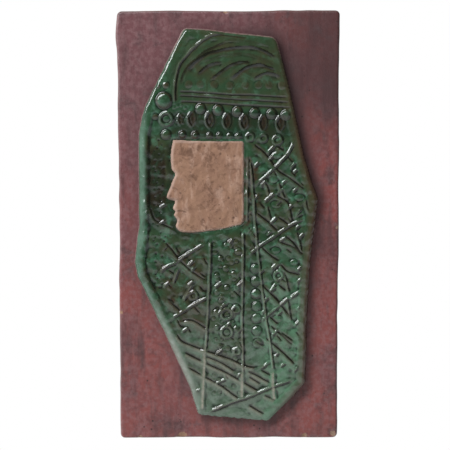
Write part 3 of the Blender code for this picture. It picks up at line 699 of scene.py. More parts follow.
class Profile:
    """The face in profile, looking left. Its thirds are hair to brow, brow to nose, and nose to chin."""

    left, right = -57.0, 14.5
    foot, top = 195.5, 281.0
    outline_shares = [
        (0.085, 1.000), (0.062, 0.900), (0.055, 0.780), (0.062, 0.690), (0.104, 0.635),
        (0.060, 0.530), (0.000, 0.420), (0.012, 0.375), (0.102, 0.350), (0.076, 0.275),
        (0.108, 0.240), (0.086, 0.195), (0.134, 0.145), (0.112, 0.075), (0.160, 0.022),
        (0.260, 0.000), (0.480, 0.012), (0.720, 0.040), (0.960, 0.085),
    ]
    nape_shares = [(1.000, 0.120), (1.000, 0.975), (0.975, 1.000)]
    # a raised line has its points, its width, its share of the rise, and the length of its thin ends
    brow = ([(0.105, 0.700), (0.200, 0.735), (0.340, 0.700)], 4.5, 1.0, 3)
    upper_lid = ([(0.160, 0.612), (0.245, 0.645), (0.350, 0.598)], 2.2, 1.3, 3)
    lower_lid = ([(0.165, 0.604), (0.250, 0.575), (0.345, 0.592)], 1.8, 1.0, 3)
    nostril = ([(0.150, 0.440), (0.190, 0.400), (0.150, 0.370)], 2.6, 1.0, 3)
    jaw = ([(0.30, 0.045), (0.52, 0.075), (0.74, 0.17), (0.86, 0.32)], 16.0, 0.7, 14)
    raised_lines = (brow, upper_lid, lower_lid, nostril, jaw)
    mouth = ([(0.108, 0.240), (0.190, 0.243), (0.260, 0.225)], 2.0, 1.1)
    plain_style = {"lean": 0.5, "skirt": 0.0, "groove": 0.0, "brown": 0.0, "pale": 0.0}
    # a swelling has its place, its half sizes, its share of the rise, and its moat
    eyeball = ((0.250, 0.608), 5.6, 2.6, 1.1, 0.1)
    cheek = ((0.42, 0.40), 13.0, 12.0, 0.8, 0.0)
    swellings = (eyeball, cheek)
    pit_count, pit_gap, pit_seed = 34, 2.0, 5
    pit_sizes, pit_insets = (0.8, 2.2), (9, 3)
    lumps = [(0.45, 8, 31), (0.28, 3.4, 32), (0.12, 1.7, 33)]
    margin = 4.0
    foot_slope, foot_drop = 2.5, 1.2
    softening = 0.5

    @classmethod
    def on_face(cls, shares):
        """Points given as shares of the face's width and height, in the drawing."""
        across, up = np.asarray(shares, float).T
        return np.stack(
            [cls.left + across * (cls.right - cls.left), cls.foot + up * (cls.top - cls.foot)], axis=-1
        )

    @classmethod
    def outline(cls):
        """The whole outline, clockwise, with the profile as a smooth curve."""
        profile = smooth_line(cls.on_face(cls.outline_shares), 1.0)
        return np.vstack([profile, cls.on_face(cls.nape_shares)])[::-1]


def scattered(box, count, apart, seed):
    """Random places in a box that keep a distance from each other."""
    left, foot, right, top = box
    random = np.random.default_rng(seed)
    places = []
    for _ in range(count * 12):
        place = random.uniform((left, foot), (right, top))
        if all(np.hypot(*(place - other)) > apart for other in places):
            places.append(place)
        if len(places) == count:
            break
    return places


def carve_headdress(relief, carving):
    """Presses the headdress's lines, beads and petals into the relief."""
    fine, ridge_rise = carving.ridge_width / MM, carving.ridge_rise / MM
    ring_line, bead_rise = carving.ring_line_width / MM, carving.bead_rise / MM
    edge_rise = carving.strong_ridge_rise / MM * Headdress.edge_rise_share
    relief.stroke(Headdress.edge, carving.strong_ridge_width / MM, edge_rise, **Headdress.edge_style)
    for line, share in Headdress.arcs:
        # painted shade: each soft fold's lee flank is painted dark brown
        shade = Headdress.arc_shade * share
        relief.stroke(
            line, carving.arc_width / MM, carving.arc_rise / MM * share, brown=shade, shade=shade,
            **Headdress.arc_style,
        )
    for line, share in Headdress.bands:
        rise = ridge_rise * Headdress.band_rise_share * share
        relief.stroke(line, fine * Headdress.band_width_share, rise, **Headdress.band_style)
    for x, z in Headdress.flat_beads:
        relief.bead(x, z, Headdress.flat_bead_size, carving.flat_bead_rise / MM, moat=0.2, brown=0.55)
    for x, z in Headdress.upper_beads:
        relief.bead(x, z, Headdress.upper_bead_size, bead_rise)
    for number, (x, z) in enumerate(Headdress.lower_beads):
        share = 1.0 if number < Headdress.full_lower_beads else Headdress.small_bead_share
        size = Headdress.lower_bead_size * (0.7 + 0.3 * share)
        relief.bead(x, z, size, bead_rise * share, brown=1 - share)
    for x, z, size, share in Headdress.temple_beads:
        relief.bead(x, z, size, bead_rise * share, brown=0 if share >= 1 else 0.8)
    for x, z, size in Headdress.temple_rings:
        relief.ring(x, z, size, ring_line, carving.ring_rise / MM)
    for x, z in Headdress.petals:
        relief.petal(x, z, Headdress.petal_size, ring_line, carving.petal_rise / MM)
    relief.petal(*Headdress.narrow_petal, Headdress.narrow_petal_size, ring_line, carving.petal_rise / MM)
    for x, z in scattered(Headdress.studs, Headdress.stud_count, Headdress.stud_gap, carving.seed):
        relief.bead(x, z, Headdress.stud_size, Headdress.stud_rise)


def carve_folds(relief, carving):
    """Presses the cloak's long folds and hems into the relief, the later ones over the earlier."""
    fine, ridge_rise = carving.ridge_width / MM, carving.ridge_rise / MM
    strong, strong_rise = carving.strong_ridge_width / MM, carving.strong_ridge_rise / MM
    for line, share in Cloak.hem_folds:
        rise = strong_rise * Cloak.hem_fold_rise_share * share
        relief.stroke(line, carving.arc_width / MM, rise, **Cloak.hem_fold_style)
    for line in Cloak.falling_folds:
        relief.stroke(line, carving.fold_width / MM, ridge_rise, **Cloak.falling_style)
    for line in Cloak.steep_folds:
        relief.stroke(line, fine * Cloak.steep_width_share, ridge_rise, **Cloak.steep_style)
    for line in Cloak.rising_folds:
        rise = ridge_rise * Cloak.rising_rise_share
        relief.stroke(line, fine * Cloak.rising_width_share, rise, **Cloak.rising_style)
    for line, share in Cloak.hems:
        rise, pale = ridge_rise * Cloak.hem_rise_share * share, Cloak.hem_pale * share
        relief.stroke(line, fine * Cloak.hem_width_share, rise, pale=pale, **Cloak.hem_style)
    for line in Cloak.hem_tails:
        rise = ridge_rise * Cloak.tail_rise_share
        relief.stroke(line, fine * Cloak.tail_width_share, rise, **Cloak.tail_style)
    for line in Cloak.strong_folds:
        relief.stroke(line, strong, strong_rise * Cloak.strong_rise_share, **Cloak.strong_style)


def carve_beads(relief, carving):
    """Presses the cloak's bosses, beads and rings into the relief."""
    bead_rise = carving.bead_rise / MM
    for x, z, size in Cloak.bosses:
        half = size / 2
        relief.dome(x, z, half, half * Cloak.boss_height_share, carving.boss_rise / MM, moat=0.35)
    (x0, z0), (x1, z1) = Cloak.hem_bead_line
    hem_bead_rise = bead_rise * Cloak.hem_bead_rise_share
    for share in np.linspace(0, 1, Cloak.hem_bead_count):
        relief.bead(x0 + share * (x1 - x0), z0 + share * (z1 - z0), Cloak.hem_bead_size, hem_bead_rise)
    for x, z, size in Cloak.beads:
        relief.bead(x, z, size * Cloak.bead_size_share, bead_rise * Cloak.bead_rise_share, brown=0.3)
    for x, z, size in Cloak.rings:
        relief.ring(x, z, size, carving.ring_line_width / MM, carving.ring_rise / MM)


def carve_marks(relief, carving):
    """Presses small random beads, pits and crossing marks into the cloak, and crosses between the hems."""
    fine, ridge_rise = carving.ridge_width / MM, carving.ridge_rise / MM
    random = np.random.default_rng(carving.seed)
    dot_seed = carving.seed + Cloak.column_dots
    for x, z in scattered(Cloak.column, Cloak.column_dots, Cloak.dot_gap, dot_seed):
        size, rise = random.uniform(*Cloak.dot_sizes), random.uniform(*Cloak.dot_rises)
        relief.bead(x, z, size, rise, moat=0.4, brown=0.4)
    pit_seed = carving.seed + Cloak.cheek_pits
    for x, z in scattered(Cloak.cheek_field, Cloak.cheek_pits, Cloak.pit_gap, pit_seed):
        relief.pit(x, z, random.uniform(*Cloak.pit_sizes), random.uniform(*Cloak.pit_depths))
    for box, count in Cloak.hatched:
        for x, z in scattered(box, count, Cloak.mark_gap, carving.seed + count):
            if random.uniform() < Cloak.rising_share:
                turn, half = random.uniform(*Cloak.rising_turns), random.uniform(*Cloak.rising_halves)
                width = fine * Cloak.rising_width_share
                rise = ridge_rise * random.uniform(*Cloak.rising_mark_rises)
                style = Cloak.rising_mark_style
            else:
                turn, half = random.uniform(*Cloak.falling_turns), random.uniform(*Cloak.falling_halves)
                width = random.uniform(*Cloak.falling_widths)
                rise = random.uniform(*Cloak.falling_mark_rises)
                style = Cloak.falling_mark_style
            run_x, run_z = half * math.cos(math.radians(turn)), half * math.sin(math.radians(turn))
            relief.stroke([(x - run_x, z - run_z), (x + run_x, z + run_z)], width, rise, **style)
    half_x, half_z = Cloak.cross_half
    for x, z in Cloak.cross_marks:
        for side in (1, -1):
            ends = [(x - half_x, z - side * half_z), (x + half_x, z + side * half_z)]
            relief.stroke(ends, Cloak.cross_width, Cloak.cross_rise, **Cloak.cross_style)


class Zones:
    """Parts of the figure's drawing. Each pair leads over one border, from outside to inside."""

    left_side = {"across": [(-20, -48)], "up": [(312, 288)]}
    right_side = {"across": [(30, 60)], "up": [(300, 285)]}
    deep_field = {"across": [(-20, -48)], "up": [(312, 288), (110, 150)]}
    right_field = {"across": [(20, 50)], "up": [(60, 120)]}
    high_right = {"up": [(190, 215)]}
    cloak = {"up": [(290, 275)]}
    cheek = {"across": [(-56, -60)], "up": [(190, 205), (284, 268)]}
    by_profile = {"across": [(-12, -34)], "up": [(180, 192), (284, 276)]}
    petal_row = {"across": [(-60, -48)], "up": [(280, 286), (311, 306)]}
    crown = {"up": [(318, 350)]}
    crown_left = {"across": [(10, -30)]}
    between_hems = {"across": [(10, 14), (32, 25)], "up": [(185, 200), (276, 262)]}
    by_lattice = {"across": [(-18, -24)], "up": [(95, 110), (195, 180)]}


def zone(x, z, borders):
    """1 inside a part of the drawing and 0 outside it, with a smooth run over each border."""
    share = np.ones(x.shape)
    for value, side in ((x, "across"), (z, "up")):
        for outside, inside in borders.get(side, ()):
            share *= smooth_step(value, outside, inside)
    return share


class FigureForm:
    """How the figure's surface is shaped, in the drawing's millimetres."""

    margin = 6.0
    # how much of its full depth the field has everywhere, what the left adds, and how much the right has
    field_shares = (0.2, 0.8, 0.3)
    right_rim_fade = 0.3
    off_edge, off_rim = 0.6, 0.75
    face_gap = (0.4, 1.6)
    # the groove around the face: its depth, how far outside the face it runs, and its reach
    face_seam = (0.5, 1.2, 1.1)
    seat_depth = 1.0
    foot_slope, foot_drop = 3.0, 1.5
    softening = 0.42
    lumps = [(1.0, 9, 21), (0.7, 26, 23)]
    fine_lumps, fine_lump_shares = (4.5, 22), (0.4, 0.6)
    calm_rim_share = 0.5


def uncarved_figure(x, z, depth, figure, left_side):
    """The figure's plain form: a bevelled edge, a round one along the left, and a field inside the rim."""
    narrow, broad = figure.narrow_shoulder / MM, figure.broad_shoulder / MM
    rise, wall = figure.rise / MM, figure.wall / MM
    up_shoulder = np.clip(depth / (narrow + (broad - narrow) * left_side), 0, 1)
    rounded_rise = rise * np.sqrt(1 - (1 - up_shoulder) ** 2)
    bevelled_rise = wall * smooth_step(depth, -0.1, 0.8) + (rise - wall) * (1 - (1 - up_shoulder) ** 1.05)
    body = bevelled_rise + (rounded_rise - bevelled_rise) * left_side

    everywhere, deep, right = FigureForm.field_shares
    drop_share = everywhere + deep * zone(x, z, Zones.deep_field)
    drop_share = np.maximum(drop_share, right * zone(x, z, Zones.right_field))
    rim, slope = figure.rim_width / MM - 0.5, figure.field_slope / MM
    return body - figure.field_drop / MM * drop_share * smooth_step(depth, rim, rim + slope)


def figure_relief(figure, carving):
    """The figure's heights over the slab's face, and what the glaze's colour follows."""
    margin = FigureForm.margin
    relief = Relief(
        Drawing.left - margin, Drawing.foot - margin, Drawing.right + margin, Drawing.top + margin,
        figure.mesh_step / MM, figure.hand_wobble / MM,
    )
    carve_headdress(relief, carving)
    carve_folds(relief, carving)
    carve_beads(relief, carving)
    carve_marks(relief, carving)

    x, z = relief.x, relief.z
    depth = signed_depth(relief.drawn_x, relief.drawn_z, rounded(Drawing.outline))
    relief.placed_x, relief.placed_z, depth = snapped_to_contour(relief, depth)
    to_face = signed_depth(x, z, Profile.outline())
    left_side = zone(x, z, Zones.left_side)
    right_side = zone(x, z, Zones.right_side)
    right_side *= 1 - FigureForm.right_rim_fade * zone(x, z, Zones.high_right)
    rim_share = np.maximum(left_side, right_side)
    narrow, rim = figure.narrow_shoulder / MM, figure.rim_width / MM
    off_rim = smooth_step(depth, narrow * FigureForm.off_edge, narrow) * (1 - rim_share)
    off_rim += smooth_step(depth, rim * FigureForm.off_rim, rim) * rim_share
    carved = relief.heights() * off_rim * smooth_step(-to_face, *FigureForm.face_gap)

    calm = 1 - FigureForm.calm_rim_share * right_side * (1 - smooth_step(depth, rim - 2, rim + 1))
    lumps = calm * layered_noise(x, z, *FigureForm.lumps)
    everywhere, on_cloak = FigureForm.fine_lump_shares
    lumps += (everywhere + on_cloak * zone(x, z, Zones.cloak)) * soft_noise(x, z, *FigureForm.fine_lumps)
    lumps *= carving.lump_rise / MM * smooth_step(depth, 1.5, narrow + 1)
    heights = uncarved_figure(x, z, depth, figure, left_side) + carved + lumps

    seam_depth, seam_place, seam_reach = FigureForm.face_seam
    heights -= seam_depth * np.exp(-((to_face + seam_place) / seam_reach) ** 2)
    under_face = (figure.rise - figure.field_drop) / MM - FigureForm.seat_depth
    heights = np.where(to_face > 1, np.minimum(heights, under_face), heights)
    foot = np.maximum(FigureForm.foot_slope * depth, -FigureForm.foot_drop)
    heights = np.where(depth < 0, foot, heights)
    heights = np.where(depth > 1, blurred(heights, FigureForm.softening / relief.step), heights)

    relief.depth, relief.height = depth, heights
    inner = smooth_step(depth, narrow * 0.8, narrow + 1)
    traits = glaze_traits(relief, to_face, off_rim, inner)
    traits["edge"] = np.clip(depth * MM / (2 * figure.broad_shoulder), 0, 1)
    return relief, traits


class GlazeCoat:
    """Where the glaze runs thin and gathers, and where shade is painted: slopes, millimetres, and the
    strength in each part.
    """

    thin_slopes, thin_blur = (0.35, 1.0), 0.6
    pool_blur, pool_depth, pool_share = 1.8, 0.30, 0.8
    # petal_pool is painted shade: the ground between the petals is darkened
    cheek_pool, profile_pool, petal_pool = 0.6, 0.55, 0.55
    cheek_brown, crown_brown, hem_brown, lattice_brown = 0.85, 0.08, 0.9, 0.5
    patches, patch_limits = [(1.0, 7, 24), (0.6, 3, 25)], (-0.35, 0.55)
    profile_reach = (-9, -3)


def glaze_traits(relief, to_face, off_rim, inner):
    """Where the glaze is thin, pooled or brown, where shade is painted dark, and where crests are painted
    pale.
    """
    x, z = relief.x, relief.z
    slope_x, slope_z = np.gradient(relief.height, relief.step)
    steep = smooth_step(np.hypot(slope_x, slope_z), *GlazeCoat.thin_slopes)
    thin = blurred(steep, GlazeCoat.thin_blur / relief.step)
    sunk = blurred(relief.height, GlazeCoat.pool_blur / relief.step) - relief.height
    pool = GlazeCoat.pool_share * np.clip(sunk / GlazeCoat.pool_depth, 0, 1)
    # relief.dark adds glaze pooled in grooves and pits, and painted shade on lee flanks
    pool = np.maximum(pool, relief.dark * off_rim)
    cheek = zone(x, z, Zones.cheek)
    by_profile = smooth_step(to_face, *GlazeCoat.profile_reach) * zone(x, z, Zones.by_profile)
    pooled_and_shaded_parts = np.maximum(GlazeCoat.cheek_pool * cheek, GlazeCoat.profile_pool * by_profile)
    pooled_and_shaded_parts += GlazeCoat.petal_pool * zone(x, z, Zones.petal_row)
    crown = zone(x, z, Zones.crown) * (0.5 + 0.5 * zone(x, z, Zones.crown_left))
    brown_parts = GlazeCoat.cheek_brown * cheek + GlazeCoat.crown_brown * crown
    brown_parts += GlazeCoat.hem_brown * zone(x, z, Zones.between_hems)
    brown_parts += GlazeCoat.lattice_brown * zone(x, z, Zones.by_lattice)
    patches = smooth_step(layered_noise(x, z, *GlazeCoat.patches), *GlazeCoat.patch_limits)
    return {
        "thin": thin * inner,
        "pool": np.maximum(pool, pooled_and_shaded_parts) * inner,
        "brown": np.clip(relief.brown * off_rim + brown_parts * patches, 0, 1) * inner,
        # pale marks the painted highlight on crests and lit flanks
        "pale": relief.pale * off_rim,
    }


def snapped_to_contour(relief, depth):
    """The grid's places and depths, with the points next to the outline moved onto it."""
    on_contour = np.abs(depth) < relief.step / 2
    slope_x, slope_z = np.gradient(depth, relief.step)
    placed_x = np.where(on_contour, relief.x - depth * slope_x, relief.x)
    placed_z = np.where(on_contour, relief.z - depth * slope_z, relief.z)
    return placed_x, placed_z, np.where(on_contour, 0, depth)


def face_relief(face, figure):
    """The face's heights over the slab's face, and what the clay's colour follows."""
    margin = Profile.margin
    box = (Profile.left - margin, Profile.foot - margin, Profile.right + margin, Profile.top + margin)
    relief, cuts = (Relief(*box, face.mesh_step / MM, figure.hand_wobble / MM) for _ in range(2))
    rise = face.feature_rise / MM
    for points, width, share, taper in Profile.raised_lines:
        relief.stroke(Profile.on_face(points), width, rise * share, taper=taper, **Profile.plain_style)
    for place, half_across, half_up, share, moat in Profile.swellings:
        x, z = Profile.on_face([place])[0]
        relief.dome(x, z, half_across, half_up, rise * share, moat=moat)
    raised = relief.heights()

    points, width, share = Profile.mouth
    cuts.stroke(Profile.on_face(points), width, rise * share, **Profile.plain_style)
    low, high = Profile.pit_insets
    inner_face = (Profile.left + low, Profile.foot + low, Profile.right - high, Profile.top - high)
    smallest_pit, pit_growth = Profile.pit_sizes
    for x, z in scattered(inner_face, Profile.pit_count, Profile.pit_gap, Profile.pit_seed):
        size = smallest_pit + pit_growth * abs(math.sin(x * 7 + z * 3)) ** 3
        cuts.bead(x, z, size, face.pit_depth / MM, moat=0.0)
    hollow = cuts.heights()

    depth = signed_depth(relief.drawn_x, relief.drawn_z, Profile.outline())
    relief.placed_x, relief.placed_z, depth = snapped_to_contour(relief, depth)
    ground, bevel = (figure.rise - figure.field_drop) / MM, face.bevel / MM
    edge = np.sqrt(1 - (1 - np.clip(depth / bevel, 0, 1)) ** 2)
    lumps = layered_noise(relief.x, relief.z, *Profile.lumps)
    heights = ground + face.rise / MM * edge + (raised - hollow + lumps) * smooth_step(depth, 0.4, bevel)
    foot = ground + np.maximum(Profile.foot_slope * depth, -Profile.foot_drop)
    heights = np.where(depth < 0, foot, heights)
    relief.depth = depth
    relief.height = blurred(heights, Profile.softening / relief.step)
    traits = {
        "pool": np.clip(hollow / (face.pit_depth / MM), 0, 1),
        "brim": np.clip(depth * MM / (1.6 * face.bevel), 0, 1),
    }
    return relief, traits


def add_piece(name, mesh, material):
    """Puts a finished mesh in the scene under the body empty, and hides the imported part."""
    mesh.materials.append(material)
    piece = bpy.data.objects.new(name, mesh)
    bpy.context.scene.collection.objects.link(piece)
    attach(piece, BODY)
    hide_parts(NODE)


def grid_faces(shape):
    """The four corner numbers of each square in a grid of points."""
    numbers = np.arange(shape[0] * shape[1]).reshape(shape)
    return np.stack([numbers[:-1, :-1], numbers[1:, :-1], numbers[1:, 1:], numbers[:-1, 1:]], axis=-1)


def add_traits(mesh, traits):
    """Keeps values for each point of the mesh, for the finish to read."""
    for name, values in traits.items():
        attribute = mesh.attributes.new(name, "FLOAT", "POINT")
        attribute.data.foreach_set("value", values.ravel().astype(np.float32))


def open_edges(form):
    return [edge for edge in form.edges if edge.is_boundary]


def corners_of(parts):
    """The vertices among what a mesh operation made."""
    return [part for part in parts if isinstance(part, bmesh.types.BMVert)]


def close_back(form):
    """Fills the last open edge and turns all faces outwards."""
    bmesh.ops.edgeloop_fill(form, edges=open_edges(form))
    bmesh.ops.recalc_face_normals(form, faces=form.faces)


def relief_mesh(name, relief, drawing, base, traits):
    """A closed mesh of the relief inside its outline, with straight walls back to the base plane."""
    inside = relief.depth > -1.6 * relief.step
    kept = inside[:-1, :-1] & inside[1:, :-1] & inside[1:, 1:] & inside[:-1, 1:]
    used, faces = np.unique(grid_faces(relief.x.shape)[kept], return_inverse=True)
    places = drawing.place(relief.placed_x, relief.placed_z, relief.height).reshape(-1, 3)[used]
    mesh = bpy.data.meshes.new(name)
    mesh.from_pydata(places.tolist(), [], faces.reshape(-1, 4).tolist())
    add_traits(mesh, {trait: values.ravel()[used] for trait, values in traits.items()})
    form = bmesh.new()
    form.from_mesh(mesh)
    for vert in corners_of(bmesh.ops.extrude_edge_only(form, edges=open_edges(form))["geom"]):
        vert.co.y = base
    close_back(form)
    form.to_mesh(mesh)
    form.free()
    mesh.shade_smooth()
    return mesh


class SlabMarks:
    """Marks of the hand on the slab, and a painted shadow around the figure, in millimetres across from its
    centre line and up from its foot.
    """

    edge_zone = [0, 0.12, 0.3, 0.5, 0.75, 1.0, 1.5, 2.2]
    wall_shares = (0.2, 0.4, 0.6, 0.8, 1.0)
    swell = [(0.25, 45, 41), (0.12, 14, 42)]
    sway = [(1.0, 38, 43), (0.5, 12, 44)]
    sway_reach = 14.0
    end_sway_share = 0.8
    bulge, bulge_height, bulge_reach = 1.3, 378, 13
    chips = [
        (-3, 399, 2.6, 1.2), (-44, 3, 5, 0.8), (-49, 0, 3, 0.7), (71, 2, 4, 0.8), (98, 4, 4, 0.9),
        (30, 0, 3, 0.5), (-84, 1, 3, 0.5), (101, 200, 2.5, 0.5), (-101, 120, 2.5, 0.5),
    ]
    chip_stretch = 1.3
    chip_raggedness = (0.25, 1.5, 45)
    # painted shadow: how far the darkening reaches from the figure, and how strong it is everywhere and at
    # the upper right
    shadow_reach = 9.0
    shadow_strengths = (0.35, 0.65)
    shadow_zone = {"across": [(-10, 40)], "up": [(180, 240)]}


def slab_lines(half, edge_zone, step):
    """Places of mesh lines between -half and half, close together near both ends."""
    near = half - np.array(edge_zone)
    reach = near[-1]
    count = max(2, round(2 * reach / step))
    inner = np.linspace(-reach, reach, count + 1)[1:-1]
    return np.concatenate([-near, inner, near[::-1]])


def slab_grid(slab):
    """The face's mesh, squeezed into the slab's round corners, and how far each point lies inside."""
    half_x, half_z, radius = slab.width / 2, slab.height / 2, slab.corner_radius
    zone_places = np.array(SlabMarks.edge_zone) * slab.edge_rounding
    x, z = np.meshgrid(
        slab_lines(half_x, zone_places, slab.mesh_step), slab_lines(half_z, zone_places, slab.mesh_step),
        indexing="ij",
    )
    out_x, out_z = np.abs(x) - (half_x - radius), np.abs(z) - (half_z - radius)
    in_corner = (out_x > 0) & (out_z > 0)
    far = np.maximum(out_x, out_z)
    shrink = np.where(in_corner, far / np.maximum(np.hypot(out_x, out_z), 1e-9), 1)
    x = np.where(in_corner, np.sign(x) * (half_x - radius + out_x * shrink), x)
    z = np.where(in_corner, np.sign(z) * (half_z - radius + out_z * shrink), z)
    return x, z, radius - far


def slab_chips(x, z):
    """How worn the face is by the chips, and their depths in metres."""
    worn, depths = np.zeros(x.shape), np.zeros(x.shape)
    ragged = layered_noise(x, z, SlabMarks.chip_raggedness)
    for chip_x, chip_z, size, deep in SlabMarks.chips:
        far_off = np.hypot(x - chip_x, (z - chip_z) * SlabMarks.chip_stretch) / size
        bite = np.clip(1 - far_off - ragged, 0, 1)
        worn = np.maximum(worn, np.clip(bite * 3, 0, 1))
        depths += deep * MM * np.clip(bite * 2, 0, 1)
    return worn, depths


def slab_mesh(slab):
    """The uncut slab: a wavy face with round edges and chips, straight sides, and a flat back."""
    half_x, half_z, middle = slab.width / 2, slab.height / 2, (LOW.z + HIGH.z) / 2
    x, z, inwards = slab_grid(slab)
    drawn_x, drawn_z = x / MM, (z + half_z) / MM
    edge = np.clip(inwards / slab.edge_rounding, 0, 1)
    worn, chip_depths = slab_chips(drawn_x, drawn_z)
    drop = slab.edge_rounding * (1 - np.sqrt(1 - (1 - edge) ** 2)) + chip_depths
    swell = layered_noise(drawn_x, drawn_z, *SlabMarks.swell)
    swell *= smooth_step(inwards, 0, 4 * slab.edge_rounding)

    sway_reach = SlabMarks.sway_reach * MM
    near_side = 1 - smooth_step(half_x - np.abs(x), 0, sway_reach)
    near_end = 1 - smooth_step(half_z - np.abs(z), 0, sway_reach)
    sway = layered_noise(drawn_x, drawn_z, *SlabMarks.sway)
    up_bulge = (drawn_z - SlabMarks.bulge_height) / SlabMarks.bulge_reach
    bulge = SlabMarks.bulge * np.exp(-up_bulge**2) * (drawn_x < 0)
    x = x + np.sign(x) * near_side * (slab.waviness * sway + bulge * MM)
    z = z + np.sign(z) * near_end * slab.waviness * SlabMarks.end_sway_share * sway
    places = np.stack([x, -slab.thickness + drop - swell * MM, z + middle], axis=-1).reshape(-1, 3)

    # painted shadow: the ground darkens near the figure's outline, most where the figure's shadow falls at
    # the upper right
    beside = np.clip(-signed_depth(drawn_x, drawn_z, rounded(Drawing.outline)), 0, None)
    everywhere, high_right = SlabMarks.shadow_strengths
    strength = everywhere + high_right * zone(drawn_x, drawn_z, SlabMarks.shadow_zone)
    painted_shadow = np.exp(-(beside / SlabMarks.shadow_reach) ** 2) * strength
    mesh = bpy.data.meshes.new("uncut_slab")
    mesh.from_pydata(places.tolist(), [], grid_faces(x.shape).reshape(-1, 4).tolist())
    add_traits(mesh, {"chip": worn, "brim": 1 - edge, "painted_shadow": painted_shadow})

    form = bmesh.new()
    form.from_mesh(mesh)
    front, back = -slab.thickness + slab.edge_rounding, slab.back_rounding
    levels = [(front + share * (-back - front), 0.0) for share in SlabMarks.wall_shares]
    turns = np.linspace(0, math.pi / 2, 5)[1:]
    levels += [(-back + back * math.sin(turn), back * (1 - math.cos(turn))) for turn in turns]
    inset = 0.0
    for level, total_inset in levels:
        move, inset = total_inset - inset, total_inset
        for vert in corners_of(bmesh.ops.extrude_edge_only(form, edges=open_edges(form))["geom"]):
            vert.co.y = level
            out, up = vert.co.x, vert.co.z - middle
            vert.co.x -= math.copysign(move, out) if abs(out) > half_x - slab.corner_radius else 0
            vert.co.z -= math.copysign(move, up) if abs(up) > half_z - slab.corner_radius else 0
    close_back(form)
    form.to_mesh(mesh)
    form.free()
    return mesh


def back_cutter(name, outline, depth, soften):
    """A prism that cuts the outline into the back, with its deep edge rounded."""
    form = bmesh.new()
    face = form.faces.new([form.verts.new((x, 0.002, z)) for x, z in outline])
    deep = bmesh.ops.extrude_face_region(form, geom=[face])["geom"]
    bottom = [item for item in deep if isinstance(item, bmesh.types.BMFace)]
    for vert in deep:
        if isinstance(vert, bmesh.types.BMVert):
            vert.co.y = -depth
    rim = [edge for edge in bottom[0].edges]
    bmesh.ops.bevel(form, geom=rim, offset=soften, segments=3, affect="EDGES", profile=0.5)
    bmesh.ops.recalc_face_normals(form, faces=form.faces)
    mesh = bpy.data.meshes.new(name)
    form.to_mesh(mesh)
    form.free()
    tool = bpy.data.objects.new(name, mesh)
    bpy.context.scene.collection.objects.link(tool)
    return tool


def hollow_back(mesh, slab):
    """The slab's mesh with the tray and the notch cut out of its back."""
    block = bpy.data.objects.new("uncut_slab", mesh)
    bpy.context.scene.collection.objects.link(block)
    side, rim = slab.width / 2, slab.back_rim
    tray_top = HIGH.z - rim
    tray = rounded_box(rim - side, LOW.z + rim, side - rim, tray_top, slab.tray_corner_radius)
    half = slab.notch_width / 2
    notch = rounded_box(
        -half, tray_top - slab.notch_height, half, tray_top + slab.notch_height, slab.notch_rounding
    )
    tools = [
        back_cutter("tray_cutter", tray, slab.tray_depth, slab.tray_rounding),
        back_cutter("notch_cutter", notch, slab.notch_depth, slab.notch_edge_rounding),
    ]
    for tool in tools:
        cut = block.modifiers.new(tool.name, "BOOLEAN")
        cut.operation = "DIFFERENCE"
        cut.solver = "EXACT"
        cut.object = tool
    bpy.context.view_layer.update()
    finished = bpy.data.meshes.new_from_object(block.evaluated_get(bpy.context.evaluated_depsgraph_get()))
    for thing in [block] + tools:
        bpy.data.objects.remove(thing)
    finished.shade_smooth()
    finished.set_sharp_from_angle(angle=math.radians(50))
    return finished


